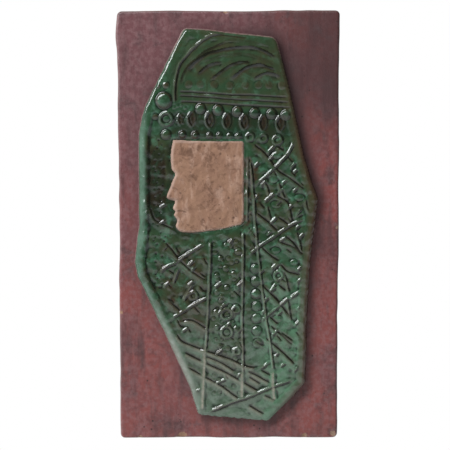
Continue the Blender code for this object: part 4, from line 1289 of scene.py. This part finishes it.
class Finish:
    """A material, with its nodes added and joined in short calls."""

    def __init__(self, name):
        self.material = bpy.data.materials.new(name)
        self.material.use_nodes = True
        self.tree = self.material.node_tree
        self.shader = self.tree.nodes["Principled BSDF"]
        self.place = self.node("TexCoord").outputs["Object"]

    def node(self, kind, inputs=None, **settings):
        node = self.tree.nodes.new("ShaderNode" + kind)
        for name, value in settings.items():
            setattr(node, name, value)
        for name, value in (inputs or {}).items():
            self.feed(node.inputs[name], value)
        return node

    def feed(self, socket, value):
        """Joins an output to a socket, or sets the socket's own value."""
        if isinstance(value, bpy.types.NodeSocket):
            self.tree.links.new(value, socket)
        elif socket.type == "RGBA":
            socket.default_value = (*value, 1.0)
        else:
            socket.default_value = value

    def surface(self, **values):
        """Feeds the shader's sockets, with their names in lower case and underscores."""
        for name, value in values.items():
            self.feed(self.shader.inputs[name.replace("_", " ").title().replace("Ior", "IOR")], value)

    def trait(self, name):
        return self.node("Attribute", attribute_name=name).outputs["Fac"]

    def stretched(self, x, y, z):
        return self.node("Mapping", {"Vector": self.place, "Scale": (x, y, z)}).outputs["Vector"]

    def noise(self, scale, detail=3.0, roughness=0.55, place=None, distortion=0.0):
        inputs = {
            "Vector": place or self.place, "Scale": scale, "Detail": detail,
            "Roughness": roughness, "Distortion": distortion,
        }
        return self.node("TexNoise", inputs).outputs["Fac"]

    def cells(self, scale):
        """Distance to the nearest of scattered points."""
        inputs = {"Vector": self.place, "Scale": scale, "Randomness": 1.0}
        return self.node("TexVoronoi", inputs).outputs["Distance"]

    def ramp(self, value, low, high, to_low=0.0, to_high=1.0):
        """A smooth run between two values."""
        inputs = {"Value": value, "From Min": low, "From Max": high, "To Min": to_low, "To Max": to_high}
        return self.node("MapRange", inputs, interpolation_type="SMOOTHSTEP").outputs["Result"]

    def maths(self, operation, first, second):
        node = self.node("Math", operation=operation)
        self.feed(node.inputs[0], first)
        self.feed(node.inputs[1], second)
        return node.outputs["Value"]

    def times(self, first, second):
        return self.maths("MULTIPLY", first, second)

    def plus(self, first, second):
        return self.maths("ADD", first, second)

    def larger(self, first, second):
        return self.maths("MAXIMUM", first, second)

    def near(self, value, middle, reach):
        """1 where a value lies within reach of the middle, and 0 elsewhere."""
        return self.node("Math", {0: value, 1: middle, 2: reach}, operation="COMPARE").outputs["Value"]

    def mix(self, share, first, second):
        """One colour over another."""
        node = self.node("Mix", data_type="RGBA")
        self.feed(node.inputs["Factor"], share)
        colours_in = [socket for socket in node.inputs if socket.type == "RGBA"]
        self.feed(colours_in[0], first)
        self.feed(colours_in[1], second)
        return next(socket for socket in node.outputs if socket.type == "RGBA")

    def axis(self, name):
        return self.node("SeparateXYZ", {"Vector": self.place}).outputs[name]

    def bump(self, height, strength, distance, under=None):
        inputs = {"Height": height, "Strength": strength, "Distance": distance}
        if under is not None:
            inputs["Normal"] = under
        return self.node("Bump", inputs).outputs["Normal"]


def bare_back(finish, across, behind, up):
    """Where the back is bare: all of the tray, because the coat only wraps a little way round the sides."""
    wrap, tray = 0.009, (-0.0095, -0.0085)
    inside_x = finish.near(across, (LOW.x + HIGH.x) / 2, HIGH.x - wrap)
    inside_z = finish.near(up, (LOW.z + HIGH.z) / 2, (HIGH.z - LOW.z) / 2 - wrap)
    return finish.times(finish.times(inside_x, inside_z), finish.ramp(behind, *tray))


def engobe_finish(finishes):
    """Burgundy engobe with brush streaks over buff clay, which shows on the back and in the chips, with
    painted shade near the figure and at the top right.
    """
    finish = Finish("ground_engobe")
    across, behind, up = (finish.axis(name) for name in "XYZ")
    dark = finishes.engobe_dark_and_shade
    upright = finish.stretched(1.0, 1.0, 0.16)
    patches = finish.noise(20, 5, 0.65, distortion=0.8)
    blotches = finish.noise(48, 5, 0.7, distortion=0.5)
    streaks = finish.noise(260, 3, 0.6, place=upright)
    wide_streaks = finish.noise(70, 4, 0.6, place=upright)
    mottle = finish.noise(230, 5, 0.7)

    lower = finish.ramp(up, HIGH.z - 0.05, LOW.z + 0.10)
    right = finish.ramp(across, 0.02, 0.08)
    redness = finish.larger(finish.times(lower, 0.85), finish.times(right, 0.9))
    redder = finish.times(finish.ramp(patches, 0.34, 0.58, 0.35, 1.0), redness)
    base = finish.mix(redder, finishes.engobe, finishes.engobe_red)
    base = finish.mix(finish.ramp(blotches, 0.48, 0.70, 0.0, 0.75), base, dark)
    base = finish.mix(finish.ramp(wide_streaks, 0.46, 0.70, 0.0, 0.72), base, dark)
    base = finish.mix(finish.ramp(streaks, 0.52, 0.80, 0.0, 0.45), base, dark)
    pale = finish.ramp(finish.plus(mottle, wide_streaks), 1.02, 1.40, 0.40, 0.0)
    base = finish.mix(finish.times(pale, finish.ramp(mottle, 0.40, 0.66)), base, finishes.engobe_pale)
    # painted shadow around the figure
    base = finish.mix(finish.times(finish.trait("painted_shadow"), 0.85), base, dark)
    # painted shade: darker towards the top on the right
    top_right_shade = finish.times(right, finish.ramp(up, HIGH.z - 0.16, HIGH.z - 0.06, 0.0, 0.8))
    base = finish.mix(top_right_shade, base, dark)
    pits = finish.ramp(finish.cells(130), 0.05, 0.16, 1.0, 0.0)
    some = finish.ramp(finish.noise(60, 1), 0.54, 0.62)
    base = finish.mix(finish.times(pits, some), base, finishes.engobe_pit)
    brim = finish.ramp(finish.trait("brim"), 0.25, 0.9, 0.0, 0.7)
    base = finish.mix(finish.times(brim, mottle), base, finishes.engobe_brim)

    chipped = finish.ramp(finish.plus(finish.trait("chip"), mottle), 0.85, 1.35)
    coat_end = finish.plus(behind, finish.times(patches, 0.004))
    bare = finish.larger(chipped, finish.ramp(coat_end, -0.0022, -0.0006))
    bare = finish.larger(bare, bare_back(finish, across, behind, up))
    clay = finish.mix(finish.ramp(mottle, 0.35, 0.75), finishes.clay, finishes.back_mottle)
    clay = finish.mix(finish.ramp(blotches, 0.42, 0.66, 0.0, 0.6), clay, finishes.back_pale)
    clay = finish.mix(finish.ramp(wide_streaks, 0.48, 0.66, 0.0, 0.5), clay, finishes.back_streak)
    finish.surface(
        base_color=finish.mix(bare, base, clay),
        roughness=finish.ramp(finish.plus(bare, blotches), 0.35, 1.3, 0.34, 0.85),
        metallic=0.0,
        ior=1.5,
    )
    grain = finish.bump(finish.noise(1400, 3, 0.6), 0.25, 0.0003)
    brushed = finish.bump(streaks, 0.45, 0.0005, under=grain)
    finish.surface(normal=finish.bump(mottle, 0.4, 0.0007, under=brushed))
    return finish.material


def open_glaze(finish, finishes, clouds, drifts, across, up, low):
    """Bottle green with olive and bluish patches, paler towards the foot and clearer low on the right."""
    high = finish.ramp(up, HIGH.z - 0.12, HIGH.z - 0.03)
    base = finish.mix(finish.ramp(clouds, 0.40, 0.66, 0.0, 0.75), finishes.glaze, finishes.glaze_olive)
    below_crown = finish.ramp(high, 1.0, 0.2, 0.35, 0.85)
    # bluish-bright patches: partly the glaze's own patchiness, partly painted reflection
    bright = finish.times(finish.ramp(drifts, 0.50, 0.66, 0.0, 0.8), below_crown)
    base = finish.mix(bright, base, finishes.glaze_bright_sheen)
    base = finish.mix(finish.times(high, 0.2), base, finishes.glaze_olive)
    # paler towards the foot: partly milky glaze, partly painted reflection of the floor
    milky = finish.times(low, finish.ramp(drifts, 0.35, 0.6, 0.5, 0.95))
    base = finish.mix(milky, base, finishes.glaze_milky_sheen)
    fresh = finish.times(finish.ramp(up, LOW.z + 0.20, LOW.z + 0.11), finish.ramp(across, 0.02, 0.04))
    fresh = finish.times(fresh, finish.ramp(drifts, 0.36, 0.56, 0.2, 0.8))
    return finish.mix(fresh, base, finishes.glaze_fresh)


def thin_borders(finish, finishes, base, clouds, mottle, across, up):
    """The glaze over the figure's rim and edges: thin glaze where the clay shows through, with painted
    light on the top and left and painted shade on the right.
    """
    edge = finish.trait("edge")
    right = finish.ramp(across, 0.03, 0.075)
    # painted shade in part: the right margin is painted olive on the side away from the light, paler
    # towards the foot
    margin = finish.times(finish.ramp(finish.plus(edge, finish.times(mottle, 0.3)), 0.75, 0.5), right)
    up_margin = (LOW.z + 0.14, LOW.z + 0.20)
    margin_tone = finish.mix(finish.ramp(up, *up_margin), finishes.margin_milky_sheen, finishes.margin_shaded_olive)
    base = finish.mix(finish.times(margin, finish.ramp(up, *up_margin, 0.85, 0.75)), base, margin_tone)

    # painted light in part: the lit left rim is painted turquoise, whitish towards the foot, over thin
    # glaze
    left_rim = finish.times(finish.ramp(edge, 0.50, 0.25), finish.ramp(across, -0.02, -0.05))
    left_rim = finish.times(left_rim, finish.ramp(up, HIGH.z - 0.085, HIGH.z - 0.115))
    turquoise = finish.times(left_rim, finish.ramp(clouds, 0.35, 0.6, 0.35, 0.9))
    base = finish.mix(turquoise, base, finishes.rim_lit_turquoise)
    # painted shade in part: the right edge is painted brown, over glaze that runs thin there
    right_edge = finish.times(finish.ramp(edge, 0.30, 0.15), right)
    base = finish.mix(finish.times(right_edge, 0.9), base, finishes.rim_shaded_brown)
    milky_rim_sheen = finish.times(left_rim, finish.ramp(up, LOW.z + 0.15, LOW.z + 0.05, 0.0, 0.9))
    base = finish.mix(milky_rim_sheen, base, finishes.rim_milky_sheen)

    # painted highlight in part: pale lines along the lit top and left edges, over clay showing through thin
    # glaze
    top_line = finish.times(finish.ramp(edge, 0.12, 0.03), finish.ramp(up, HIGH.z - 0.05, HIGH.z - 0.03))
    base = finish.mix(finish.times(top_line, 0.8), base, finishes.top_line_highlight)
    left_line = finish.times(finish.ramp(edge, 0.055, 0.02), finish.ramp(across, -0.01, -0.03))
    left_line = finish.times(left_line, finish.ramp(mottle, 0.3, 0.6, 0.3, 0.9))
    return finish.mix(left_line, base, finishes.left_line_highlight)


def glaze_finish(finishes):
    """Bottle green glaze: brown where it runs thin on steep flanks, nearly black where it pools, with
    painted shade and highlights.
    """
    finish = Finish("green_glaze")
    clouds = finish.noise(26, 4, 0.6, distortion=0.6)
    drifts = finish.noise(95, 4, 0.65, distortion=0.6)
    mottle = finish.noise(240, 4, 0.65)
    across, up = finish.axis("X"), finish.axis("Z")
    # towards the foot, where glaze, crests and rims are painted paler: partly milky glaze, partly painted
    # reflection of the floor
    low = finish.ramp(up, LOW.z + 0.16, LOW.z + 0.03)

    base = open_glaze(finish, finishes, clouds, drifts, across, up, low)
    broken = finish.ramp(finish.plus(finish.trait("thin"), finish.times(mottle, 0.7)), 0.6, 1.25, 0.0, 0.75)
    base = finish.mix(broken, base, finishes.glaze_break_and_shade)
    brown = finish.times(finish.trait("brown"), finish.ramp(mottle, 0.3, 0.6, 0.55, 0.95))
    # brown glaze, and painted shade beside the raised lines
    base = finish.mix(brown, base, finishes.glaze_break_and_shade)
    # pooled glaze in hollows, and painted shade on lee flanks and in the petal row
    base = finish.mix(finish.ramp(finish.trait("pool"), 0.15, 0.9, 0.0, 0.88), base, finishes.glaze_pool_and_shade)
    # painted highlight on crests and lit flanks
    crest = finish.times(finish.trait("pale"), finish.ramp(mottle, 0.3, 0.65, 0.5, 1.0))
    base = finish.mix(crest, base, finish.mix(low, finishes.crest, finishes.crest_milky_sheen))
    base = thin_borders(finish, finishes, base, clouds, mottle, across, up)
    spots = finish.ramp(finish.cells(420), 0.05, 0.22, 0.45, 0.0)
    base = finish.mix(spots, base, finishes.glaze_pool_and_shade)

    finish.surface(
        base_color=base,
        roughness=finish.ramp(mottle, 0.3, 0.8, 0.12, 0.28),
        metallic=0.0,
        ior=1.52,
        coat_weight=0.4,
        coat_roughness=0.07,
        coat_ior=1.5,
    )
    orange_peel = finish.bump(finish.noise(420, 2, 0.5), 0.22, 0.0005)
    finish.surface(normal=finish.bump(finish.noise(95, 3, 0.55), 0.30, 0.0014, under=orange_peel))
    return finish.material


def clay_finish(finishes):
    """Bare buff clay, matt, with brown specks and darkened pits."""
    finish = Finish("bare_clay")
    clouds = finish.noise(42, 4, 0.65, distortion=0.5)
    drag = finish.noise(150, 4, 0.6, place=finish.stretched(1.0, 1.0, 0.35))
    mottle = finish.noise(330, 5, 0.7)
    stains = finish.noise(75, 5, 0.75, distortion=0.6)
    base = finish.mix(finish.ramp(clouds, 0.34, 0.66), finishes.clay, finishes.clay_cloud)
    base = finish.mix(finish.ramp(drag, 0.48, 0.68, 0.0, 0.7), base, finishes.clay_pale)
    base = finish.mix(finish.ramp(mottle, 0.52, 0.74, 0.0, 0.6), base, finishes.clay_mottle)
    base = finish.mix(finish.ramp(stains, 0.50, 0.64, 0.0, 0.9), base, finishes.clay_stain)
    specks = finish.ramp(finish.cells(300), 0.06, 0.20, 1.0, 0.0)
    some = finish.ramp(finish.noise(70, 2), 0.54, 0.66)
    base = finish.mix(finish.times(specks, some), base, finishes.clay_speck)
    base = finish.mix(finish.ramp(finish.trait("pool"), 0.2, 0.9, 0.0, 0.7), base, finishes.clay_speck)
    base = finish.mix(finish.ramp(finish.trait("brim"), 0.9, 0.2, 0.0, 0.4), base, finishes.clay_brim)
    finish.surface(base_color=base, roughness=0.8, metallic=0.0, ior=1.45)
    grain = finish.bump(finish.noise(1500, 4, 0.65), 0.5, 0.0004)
    dragged = finish.bump(drag, 0.45, 0.0009, under=grain)
    finish.surface(normal=finish.bump(mottle, 0.5, 0.0007, under=dragged))
    return finish.material


class PLAQUE_OT_slab(bpy.types.Operator):
    """Build the engobed slab with its hollow back"""

    bl_idname = "plaque.slab"
    bl_label = "Engobed Slab"

    def execute(self, context):
        slab, finishes = context.scene.plaque_slab, context.scene.plaque_finishes
        mesh = hollow_back(slab_mesh(slab), slab)
        mesh.name = "engobed_slab"
        mesh.materials.clear()
        add_piece("engobed_slab", mesh, engobe_finish(finishes))
        return {"FINISHED"}


class PLAQUE_OT_figure(bpy.types.Operator):
    """Build the raised figure in green glaze"""

    bl_idname = "plaque.figure"
    bl_label = "Glazed Figure"

    def execute(self, context):
        scene = context.scene
        slab, figure = scene.plaque_slab, scene.plaque_figure
        relief, traits = figure_relief(figure, scene.plaque_carving)
        base = -slab.thickness + figure.seat
        mesh = relief_mesh("glazed_figure", relief, Drawing(slab, figure), base, traits)
        add_piece("glazed_figure", mesh, glaze_finish(scene.plaque_finishes))
        return {"FINISHED"}


class PLAQUE_OT_face(bpy.types.Operator):
    """Build the bare clay face"""

    bl_idname = "plaque.face"
    bl_label = "Bare Clay Face"

    def execute(self, context):
        scene = context.scene
        slab, figure = scene.plaque_slab, scene.plaque_figure
        relief, traits = face_relief(scene.plaque_face, figure)
        base = -slab.thickness - figure.rise / 2
        mesh = relief_mesh("bare_clay_face", relief, Drawing(slab, figure), base, traits)
        add_piece("bare_clay_face", mesh, clay_finish(scene.plaque_finishes))
        return {"FINISHED"}


class StageSettings(bpy.types.PropertyGroup):
    distance: length("Camera distance", 1.1, "From the camera to the middle of the plaque")
    azimuth: angle("Azimuth", 0.22, "Camera's turn round the plaque")
    elevation: angle("Elevation", 4.66, "Camera's rise above the level")
    roll: angle("Roll", -0.12, "Camera's lean")
    lens: amount("Lens", 94.37, "Focal length", 10.0, "CAMERA")
    aim_across: offset("Aim across", -0.0035, "From the plaque's middle to where the camera looks")
    aim_up: offset("Aim up", 0.0023, "The same, upwards")
    floor_level: offset("Floor level", -1.60, "Height of the floor under the plaque")
    floor_ahead: length("Floor ahead", 0.8, "From the wall to the middle of the floor")
    floor_size: length("Floor size", 4.4, "Length of the floor's sides")
    floor_glow: amount("Floor glow", 0.35, "Keeps the floor pale under soft light")
    window_place: FloatVectorProperty(
        name="Window place", description="Middle of the window light", default=(-1.03, -1.09, 0.98),
        subtype="TRANSLATION", unit="LENGTH",
    )
    window_length: length("Window length", 2.00, "Long side of the window light")
    window_width: length("Window width", 0.48, "Short side of the window light")
    window_roll: angle("Window roll", 55, "Lean of the window light")
    window_power: amount("Window power", 46, "Power of the window light", unit="POWER")
    window_tint: colour("Window tint", (0.95, 0.97, 1.0), "Colour of the window light")
    table_length: length("Table length", 1.2, "Long side of the light from below")
    table_width: length("Table width", 0.5, "Short side of the light from below")
    table_ahead: length("Table ahead", 0.75, "How far in front the light from below lies")
    table_drop: length("Table drop", 0.30, "How far it lies below the plaque's foot")
    table_aim: length("Table aim", 0.06, "Height above the foot that it points to")
    table_power: amount("Table power", 0.5, "Power of the light from below", unit="POWER")
    table_tint: colour("Table tint", (1.0, 0.96, 0.90), "Colour of the light from below")
    left_light: amount("Left light", 0.72, "Brightness of the room to the left")
    low_light: amount("Low light", 0.7, "Brightness of the room below")
    right_light: amount("Right light", 0.03, "Brightness of the room to the right")
    room_tint: colour("Room tint", (0.86, 0.92, 1.0), "Colour of the room's light")


def area_light(name, place, target, size, power, tint, roll=0.0):
    """A soft rectangular light that faces the target."""
    light = bpy.data.lights.new(name, "AREA")
    light.shape = "RECTANGLE"
    light.size, light.size_y = size
    light.energy = power
    light.color = tint
    lamp = bpy.data.objects.new(name, light)
    lamp.location = place
    facing = (Vector(target) - Vector(place)).to_track_quat("-Z", "Y")
    lamp.rotation_euler = (facing @ Quaternion((0, 0, 1), roll)).to_euler()
    bpy.context.scene.collection.objects.link(lamp)


def pale_world(stage):
    """White behind the plaque, and soft light on it from the left of the room and from the floor."""
    world = bpy.data.worlds.new("pale_studio")
    world.use_nodes = True
    tree = world.node_tree
    light = tree.nodes["Background"]
    light.inputs["Color"].default_value = (*stage.room_tint, 1.0)
    direction = tree.nodes.new("ShaderNodeSeparateXYZ")
    tree.links.new(tree.nodes.new("ShaderNodeTexCoord").outputs["Generated"], direction.inputs["Vector"])
    both = tree.nodes.new("ShaderNodeMath")
    left_of_room, foot_of_room = (-1.0, -0.3), (-0.36, -0.05)
    fades = (
        ("X", *left_of_room, stage.left_light, stage.right_light),
        ("Z", *foot_of_room, stage.low_light, 0.0),
    )
    for slot, (axis, *values) in enumerate(fades):
        fade = tree.nodes.new("ShaderNodeMapRange")
        fade.interpolation_type = "SMOOTHSTEP"
        for name, value in zip(("From Min", "From Max", "To Min", "To Max"), values):
            fade.inputs[name].default_value = value
        tree.links.new(direction.outputs[axis], fade.inputs["Value"])
        tree.links.new(fade.outputs["Result"], both.inputs[slot])
    tree.links.new(both.outputs["Value"], light.inputs["Strength"])
    backdrop = tree.nodes.new("ShaderNodeBackground")
    backdrop.inputs["Color"].default_value = (1.0, 1.0, 1.0, 1.0)
    ray = tree.nodes.new("ShaderNodeLightPath")
    mix = tree.nodes.new("ShaderNodeMixShader")
    tree.links.new(ray.outputs["Is Camera Ray"], mix.inputs["Fac"])
    tree.links.new(light.outputs["Background"], mix.inputs[1])
    tree.links.new(backdrop.outputs["Background"], mix.inputs[2])
    tree.links.new(mix.outputs["Shader"], tree.nodes["World Output"].inputs["Surface"])
    bpy.context.scene.world = world


def pale_floor(stage, tint):
    """A plain floor with a faint glow, so that it stays pale under soft light."""
    finish = Finish("pale_floor")
    finish.surface(
        base_color=tint, roughness=0.7, emission_color=(1.0, 1.0, 1.0), emission_strength=stage.floor_glow
    )
    form = bmesh.new()
    bmesh.ops.create_grid(form, x_segments=1, y_segments=1, size=stage.floor_size / 2)
    mesh = bpy.data.meshes.new("pale_floor")
    form.to_mesh(mesh)
    form.free()
    mesh.materials.append(finish.material)
    floor = bpy.data.objects.new("pale_floor", mesh)
    floor.location = (0, -stage.floor_ahead, stage.floor_level)
    bpy.context.scene.collection.objects.link(floor)


def studio_camera(stage, target):
    """The camera at the photograph's viewing angle."""
    camera = bpy.data.cameras.new("studio_camera")
    camera.lens = stage.lens
    camera.sensor_width = 36.0
    camera.clip_start = 0.05
    mount = bpy.data.objects.new("studio_camera", camera)
    turn, rise = stage.azimuth, stage.elevation
    back = Vector((math.sin(turn) * math.cos(rise), -math.cos(turn) * math.cos(rise), math.sin(rise)))
    mount.location = Vector(target) + back * stage.distance
    facing = (-back).to_track_quat("-Z", "Y") @ Quaternion((0, 0, 1), stage.roll)
    mount.rotation_mode = "QUATERNION"
    mount.rotation_quaternion = facing
    bpy.context.scene.collection.objects.link(mount)
    bpy.context.scene.camera = mount


class PLAQUE_OT_stage(bpy.types.Operator):
    """Set up the camera, the soft light and the pale floor"""

    bl_idname = "plaque.stage"
    bl_label = "Stage"

    def execute(self, context):
        stage, slab = context.scene.plaque_stage, context.scene.plaque_slab
        middle = Vector((0, 0, (LOW.z + HIGH.z) / 2))
        studio_camera(stage, middle + Vector((stage.aim_across, -slab.thickness, stage.aim_up)))
        pale_world(stage)
        pale_floor(stage, context.scene.plaque_finishes.floor)
        area_light(
            "window", stage.window_place, middle, (stage.window_length, stage.window_width),
            stage.window_power, stage.window_tint, stage.window_roll,
        )
        table_place = (0, -stage.table_ahead, LOW.z - stage.table_drop)
        area_light(
            "table", table_place, (0, 0, LOW.z + stage.table_aim), (stage.table_length, stage.table_width),
            stage.table_power, stage.table_tint,
        )
        context.scene.view_settings.view_transform = "Standard"
        return {"FINISHED"}


class PLAQUE_PT_sidebar(bpy.types.Panel):
    bl_label = "Wall Plaque"
    bl_idname = "PLAQUE_PT_sidebar"
    bl_space_type = "VIEW_3D"
    bl_region_type = "UI"
    bl_category = "Plaque"

    def draw(self, context):
        scene = context.scene
        for operator, group in BUILDERS:
            box = self.layout.box()
            box.operator(operator.bl_idname)
            settings = getattr(scene, group)
            for name in settings.__annotations__:
                box.prop(settings, name)
        finishes = self.layout.box()
        for name in scene.plaque_finishes.__annotations__:
            finishes.prop(scene.plaque_finishes, name)


SETTINGS = {
    "plaque_slab": SlabSizes,
    "plaque_figure": FigureSizes,
    "plaque_carving": CarvingSizes,
    "plaque_face": FaceSizes,
    "plaque_finishes": Finishes,
    "plaque_stage": StageSettings,
}
BUILDERS = (
    (PLAQUE_OT_slab, "plaque_slab"),
    (PLAQUE_OT_figure, "plaque_figure"),
    (PLAQUE_OT_face, "plaque_face"),
    (PLAQUE_OT_stage, "plaque_stage"),
)
CLASSES = (*SETTINGS.values(), *(operator for operator, _ in BUILDERS), PLAQUE_PT_sidebar)


def register():
    for each in CLASSES:
        bpy.utils.register_class(each)
    for name, group in SETTINGS.items():
        setattr(bpy.types.Scene, name, PointerProperty(type=group))


def unregister():
    for name in SETTINGS:
        delattr(bpy.types.Scene, name)
    for each in reversed(CLASSES):
        bpy.utils.unregister_class(each)


def main():
    register()
    bpy.ops.plaque.slab()
    bpy.ops.plaque.figure()
    bpy.ops.plaque.face()
    bpy.ops.plaque.stage()
    bpy.context.view_layer.update()


if __name__ == "__main__":
    main()
